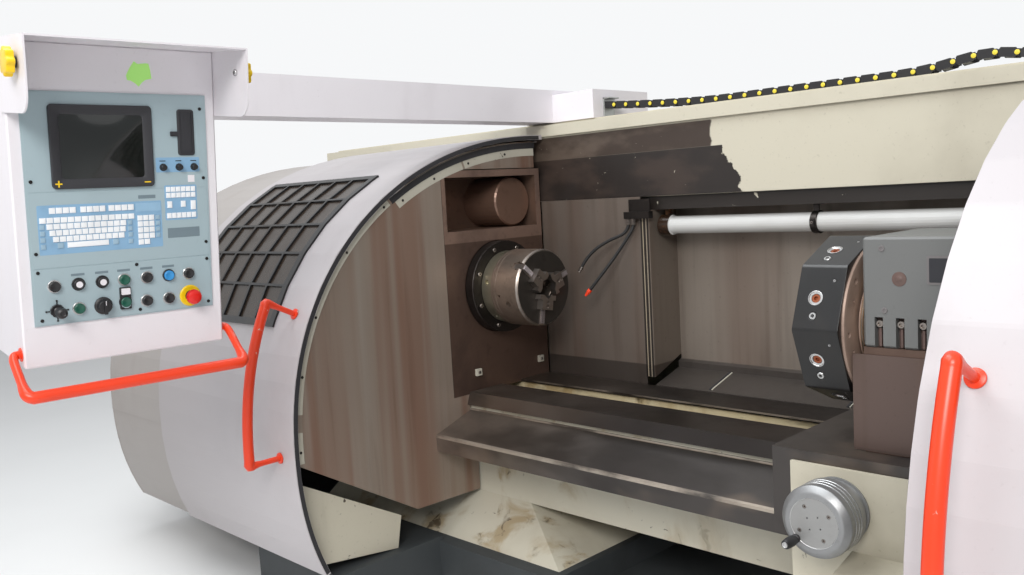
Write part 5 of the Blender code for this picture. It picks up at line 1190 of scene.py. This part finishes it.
flange = Shape()
flange.turned([(129.6, 0), (129.6, 216), (133, 216.8), (137.2, 214), (139.6, 204), (139.6, 160),
               (138.6, 156), (138, 56),
               (141, 50), (173, 50), (173, 0)], 96, lay)
flange_piece = flange.made("drum_flange", ["flange"], "turret_body", angle=25)
holes = Shape()
for k in range(8):
    holes.rod(130, 160, 8.5, 24, around(lay, 190, 45 * k + 4))
    holes.rod(133, 160, 4.5, 16, around(lay, 176, 45 * k + 20))
carved(flange_piece, holes, bevel=0.5)

ring = Shape()
ring.turned([(144, 52.2), (144, 142), (144.8, 144), (149, 144), (149.6, 141.5), (154, 141.5), (155, 144),
             (159, 148),
             (159.8, 146), (164, 146), (165, 149), (173.7, 149), (173.7, 52.2)], 96, lay, loop=True)
ring.recolour(enumerate((1, 0, 0, 1, 2, 1, 1, 2, 2, 1, 1)), 96)
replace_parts(ring.made("stepped_ring", ["flange", "brass", "bright"], "cross_slide_body", angle=25),
            "index_ring")

# Housing fittings: blank plate, plug, two screws, and bolts in their slots
HOUSING = facing_front(0, -0.380, 0)
fit = Shape()
fit.prism(round_rect(1664, 100, 1766, 172, 4), -0.4, 1.6, HOUSING, 3)
fit.prism(round_rect(1670, 106, 1760, 166, 2), 1.4, 2.2, HOUSING, 4)
fit.turned([(-0.4, 0), (-0.4, 19), (1, 18.2), (1.2, 9), (3, 6), (3.6, 3), (3.6, 0)], 36,
           HOUSING @ move(1595, 112, 0), 5)
for x, z in ((1551, 190), (1556, 30)):
    fit.turned([(-0.4, 0), (-0.4, 8.5), (2, 7.5), (2, 4), (0.6, 3.5), (0.6, 0)], 24, HOUSING @ move(x, z, 0),
               3)
for x in range(1541, 1762, 55):
    fit.turned([(0, 0), (0, 9.8), (15, 9.8), (16.2, 8.6), (16.2, 5), (11, 4.6), (11, 0)], 24,
               HOUSING @ move(x, -6, -21), 2)
    block(fit, (x - 10.6, -358.5, -67), (x + 10.6, -357.8, 11), 5)
    block(fit, (x - 3, -370, -66), (x + 3, -358.4, -18), 5)
fit.made("housing_fittings", ["grey", "brass", "bright", "housing_edge", "plate_dark", "plug_brown"],
         "cross_slide_body")


# Handwheel with grooves, face holes and a folding grip

WHEEL = facing_front(1.464, -0.4726, -0.489)
RIM = 95
wheel = Shape()
profile = [(0.3, 0), (0.3, 86), (3, 87.5), (8, 87.5), (9.2, 81.7), (40, 81.7), (40.8, 85), (42, 93.5),
           (43.6, RIM)]
bright_bands = []
for y in (64, 79, 95):
    bright_bands += [(len(profile), 1), (len(profile) + 4, 1)]
    profile += [(y, RIM), (y + 0.8, 94.4), (y + 1.8, 91.6), (y + 4.8, 91.6), (y + 5.8, 94.4), (y + 6.6, RIM)]
profile += [(117, RIM), (119, 94.6), (121.5, 93.6), (133, 81), (134.5, 77), (135, 74), (135, 65.5),
            (134.4, 64.5),
            (133.8, 64), (133.8, 0)]
wheel.turned(profile, 96, WHEEL)
last = len(profile)
wheel.recolour(bright_bands + [(last - 2, 2), (last - 3, 1), (last - 4, 1)], 96)
wheel_piece = wheel.made("handwheel_body_piece", ["wheel", "chrome", "wheel_face"], "handwheel_body",
                         angle=25)
holes = Shape()
caps = Shape()
for k in range(4):
    holes.rod(129, 150, 5.4, 20, around(WHEEL, 47, 90 * k + 32))
    holes.rod(130, 150, 2.4, 14, around(WHEEL, 21, 90 * k + 58))
    screw(caps, around(WHEEL, 47, 90 * k + 32, 129), 4.9, 4)
carved(wheel_piece, holes, bevel=0.4)
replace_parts(wheel_piece, "handwheel")
caps.made("handwheel_screws", ["bright", "plastic"], "handwheel_body")

grip = Shape()
at = around(WHEEL, 68.4, 225, 135.3)
grip.turned([(0, 0), (0, 11.5), (6, 11.5), (8, 9.5), (12, 9.5), (14, 12.5), (28, 14), (48, 13), (56, 11.8),
             (59, 9.5),
             (59, 0)], 32, at)
grip.turned([(58.8, 0), (58.8, 8), (61.2, 7.2), (62, 4.5), (60.6, 3.5), (60.6, 0)], 24, at, 1)
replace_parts(grip.made("crank_grip", ["plastic", "chrome"], "grip_body"), "handwheel_grip")


# Energy chain: side plates, cross bars and yellow pins on every link

CHAIN_START, CHAIN_END, LINK = 0.300, 2.160, 0.062
CHAIN_REST = 0.702
LINK_HALF = 14.6


def on_chain(x):
    """The chain's middle line: falling from the boom's end, flat, then over one hump."""
    drop = 0.038 * max(0.0, 1 - (x - CHAIN_START) / 0.60) ** 1.5
    return Vector((x, CHAIN_REST + drop + 0.030 * math.exp(-(((x - 1.820) / 0.140) ** 2))))


chain = Shape()
for i in range(round((CHAIN_END - CHAIN_START) / LINK)):
    x = CHAIN_START + LINK * i
    here, there = on_chain(x + 0.002), on_chain(x + 0.060)
    way = (there - here).normalized()
    long = (there - here).length / MM
    at = (Matrix.Translation(S(here.x - 0.26, 0.390, here.y))
          @ Matrix(((way.x, -way.y, 0, 0), (0, 0, -1, 0), (way.y, way.x, 0, 0), (0, 0, 0, 1))))
    under = [(0, -9), (4, -LINK_HALF), (long * 0.80, -LINK_HALF), (long * 0.86, -10.5), (long, -10.5)]
    waist = under + [(u, -v) for u, v in reversed(under)]
    for back in (-6, -59.7):
        chain.prism(waist, back, back + 5.5, at)
    for low in (LINK_HALF - 4.5, 0.5 - LINK_HALF):
        chain.box((long * 0.22, low, -54.5), (long * 0.62, low + 4, -5.8), at)
    for pin in (at @ move(long * 0.90, 0, -0.8), at @ move(long * 0.90, 0, -59.4) @ rot(180, "X")):
        chain.turned([(0, 0), (0, 7.8), (2.2, 7.8), (2.8, 6.8), (2.8, 0)], 16, pin, 1)
chain_piece = chain.made("chain_links", ["plastic", "pin_yellow"], "boom_body")
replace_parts(chain_piece, "energy_chain")
clamp = Shape()
block(clamp, (39.8, 385, 690), (46, 455, 770))
block(clamp, (40, 385, 764), (72, 455, 770))
clamp.made("chain_clamp", ["zinc"], "boom_body", 0.8)


# Door handles: bent tube with thin arms and foot plates

PULL_TOP, PULL_LOW = 23.8, -0.5
PULL_STAND_OFF = 0.120
THIN_ARM = 0.56


def door_handle(name, x, body, node):
    ends = [(Vector(barrel(a)) + barrel_out(a) * 0.003, barrel_out(a)) for a in (PULL_TOP, PULL_LOW)]
    arms = [[foot, foot + way * 0.050, foot + way * 0.088] for foot, way in ends]
    middle = [barrel(a, -PULL_STAND_OFF) for a in spread(PULL_TOP, PULL_LOW, 40)]
    smooth = curve_through([S(x, *p) for p in arms[0] + middle + arms[1][::-1]], 3)
    radii = []
    for i in range(len(smooth)):
        near = min(i, len(smooth) - 1 - i) / 3
        radii.append(THIN_ARM + (1 - THIN_ARM) * min(1.0, max(0.0, (near - 1.6) / 1.6)))
    shape = Shape()
    shape.tube(smooth, 0.018, 24, 0, radii)
    for foot, way in ends:
        at = towards(S(x, *(foot - way * 0.0028)), (0, way.x, way.y))
        shape.turned([(0, 0), (0, 20), (4, 19.5), (5.2, 17.5), (5.2, 0)], 32, at)
    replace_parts(shape.made(name, ["red"], body, angle=50), node)


door_handle("left_pull", -0.328, "left_door_body", "left_door_handle")
door_handle("right_pull", 1.968, "right_door_body", "right_door_handle")


# Seals on the doors' ends, and the screwed strips along the guards' arcs

for side, x in (("left", -0.2332), ("right", 1.8716)):
    seal = Shape()
    arc_band(seal, x, x + 0.0016, -21.9, 89.4, 0.0036, 0.0197, 56)
    seal.made(f"{side}_door_seal", ["seal"], f"{side}_door_body")

strip = Shape()
for row in ((-0.2571, -0.2556, -1.4, 3.2, 0.0296, 0.0530, 6),
            (-0.2571, -0.2556, 6.2, 51.6, 0.0296, 0.0530, 32),
            (-0.2601, -0.2586, 53.0, 71.0, 0.0562, 0.0880, 14),
            (-0.2601, -0.2586, 71.5, 89.0, 0.0562, 0.0880, 16),
            # The dark band on the upper arc is painted shade in the gap between the door's edge and the
            # strip.
            (-0.2601, -0.2566, 52.2, 89.2, 0.0300, 0.0560, 30, 1),
            (-0.2567, -0.2560, 54.0, 89.2, 0.0302, 0.0322, 30, 2)):
    arc_band(strip, *row)
for x, inset, angles in ((-0.2558, 0.0412, (0.2, 12.8, 24, 38, 50.2)),
                         (-0.2588, 0.0720, (54.6, 63.5, 72.6, 82.0))):
    for angle in angles:
        screw(strip, along_x(x, *barrel(angle, inset)), 5.2, 1.6, 3, 4)
strip.made("guard_strips", ["strip", "seal", "bright", "dark", "plastic"], "machine", 0.3)

right_strip = Shape()
arc_band(right_strip, 1.8986, 1.9001, 4.0, 88.5, 0.0330, 0.0560, 52)
right_strip.made("right_guard_strip", ["strip"], "machine", 0.3)

# Clamp on the lamp tube, ribs on the chute, and small packing blocks low on the headstock's face
clip = Shape()
clip.turned([(0, 35.2), (0, 40.5), (1.5, 41.5), (22.5, 41.5), (24, 40.5), (24, 35.2)], 40,
            along_x(0.994, 0.365, 0.225), loop=True)
block(clip, (996, 354, 264), (1016, 360, 289.8))
block(clip, (996, 354, 286), (1016, 396, 289.8))
block(clip, (998, 317, 213), (1014, 325, 237))
screw(clip, facing_front(1.006, 0.3172, 0.225), 5.2, 4, 1, 0)
clip.made("lamp_clamp", ["dark", "bright"], "machine", 1.0)

ribs = Shape()
for x, wide, look in ((0.585, 0.005, 0), (0.574, 0.009, 1), (1.140, 0.005, 0), (1.129, 0.009, 1)):
    loops = []
    for y, z in ((0.4440, -0.3755), (0.2960, -0.4164)):
        loops.append([S(x, y, z), S(x + wide, y, z), S(x + wide, y, z + 0.0036), S(x, y, z + 0.0036)])
    ribs.stacked(loops, None, look)
ribs.made("chute_ribs", ["strip", "seal"], "machine", 0.6)

blocks = Shape()
for y, z in ((-153, -347), (226, -351)):
    block(blocks, (-260.2, y - 14, z - 14), (-248, y + 14, z + 14))
    screw(blocks, along_x(-0.2482, y * MM, z * MM), 6.8, 4, 1, 2)
blocks.made("head_blocks", ["strip", "bright", "plastic"], "machine", 1.0)


# Stage and light

floor_mesh = bpy.data.meshes.new("floor")
floor_mesh.from_pydata([(-30, -30, 0), (30, -30, 0), (30, 30, 0), (-30, 30, 0)], [], [(0, 1, 2, 3)])
floor = linked("floor", floor_mesh)
floor.location.z = -0.001
floor_look = Look("floor_pale", (231.1, 231.1, 229.8), 0.7)
floor_look.tint(floor_look.where(0.4, 0.8, 0.8, 3), (223.3, 223.3, 221.9), 0.4)
floor.data.materials.append(floor_look.done())

# The object is lit by a soft bluish sky; the camera, glass and metal see a white one
world = bpy.data.worlds.new("world")
bpy.context.scene.world = world
world.use_nodes = True
tree = world.node_tree
tree.nodes.clear()


def world_node(kind, *inputs, **values):
    """A world node fed in order: a socket is linked, and anything else is set."""
    made = tree.nodes.new("ShaderNode" + kind)
    for key, value in values.items():
        setattr(made, key, value)
    for socket, value in zip(made.inputs, inputs):
        if isinstance(value, bpy.types.NodeSocket):
            tree.links.new(value, socket)
        else:
            socket.default_value = value
    return made


rays = world_node("LightPath").outputs
either = world_node("Math", rays["Is Camera Ray"], rays["Is Transmission Ray"], operation="MAXIMUM")
seen = world_node("Math", either.outputs[0], rays["Is Glossy Ray"], operation="MAXIMUM")
lit = world_node("Background", (0.92, 0.95, 1.0, 1), 0.46)
shown = world_node("Background", (0.93, 0.94, 0.95, 1), 1.0)
mixed = world_node("MixShader", seen.outputs[0], lit.outputs[0], shown.outputs[0])
world_node("OutputWorld", mixed.outputs[0])


def lamp(name, place, aim, size, power, colour):
    light = bpy.data.lights.new(name, "AREA")
    light.shape = "RECTANGLE"
    light.size, light.size_y = size
    light.energy = power
    light.color = colour
    made = linked(name, light)
    made.location = place
    made.rotation_euler = (Vector(aim) - Vector(place)).to_track_quat("-Z", "Y").to_euler()
    made.visible_camera = False


lamp("key", (3.5, -5.0, 4.6), (0.0, 0.0, 0.9), (3.0, 2.4), 330, (1.0, 0.98, 0.96))
lamp("top", (-1.0, -1.0, 5.5), (0.0, 0.0, 1.0), (5.0, 3.0), 220, (0.95, 0.98, 1.0))
lamp("fill", (-5.5, -4.5, 3.2), (-0.5, 0.0, 1.2), (3.0, 2.0), 14, (0.95, 0.97, 1.0))
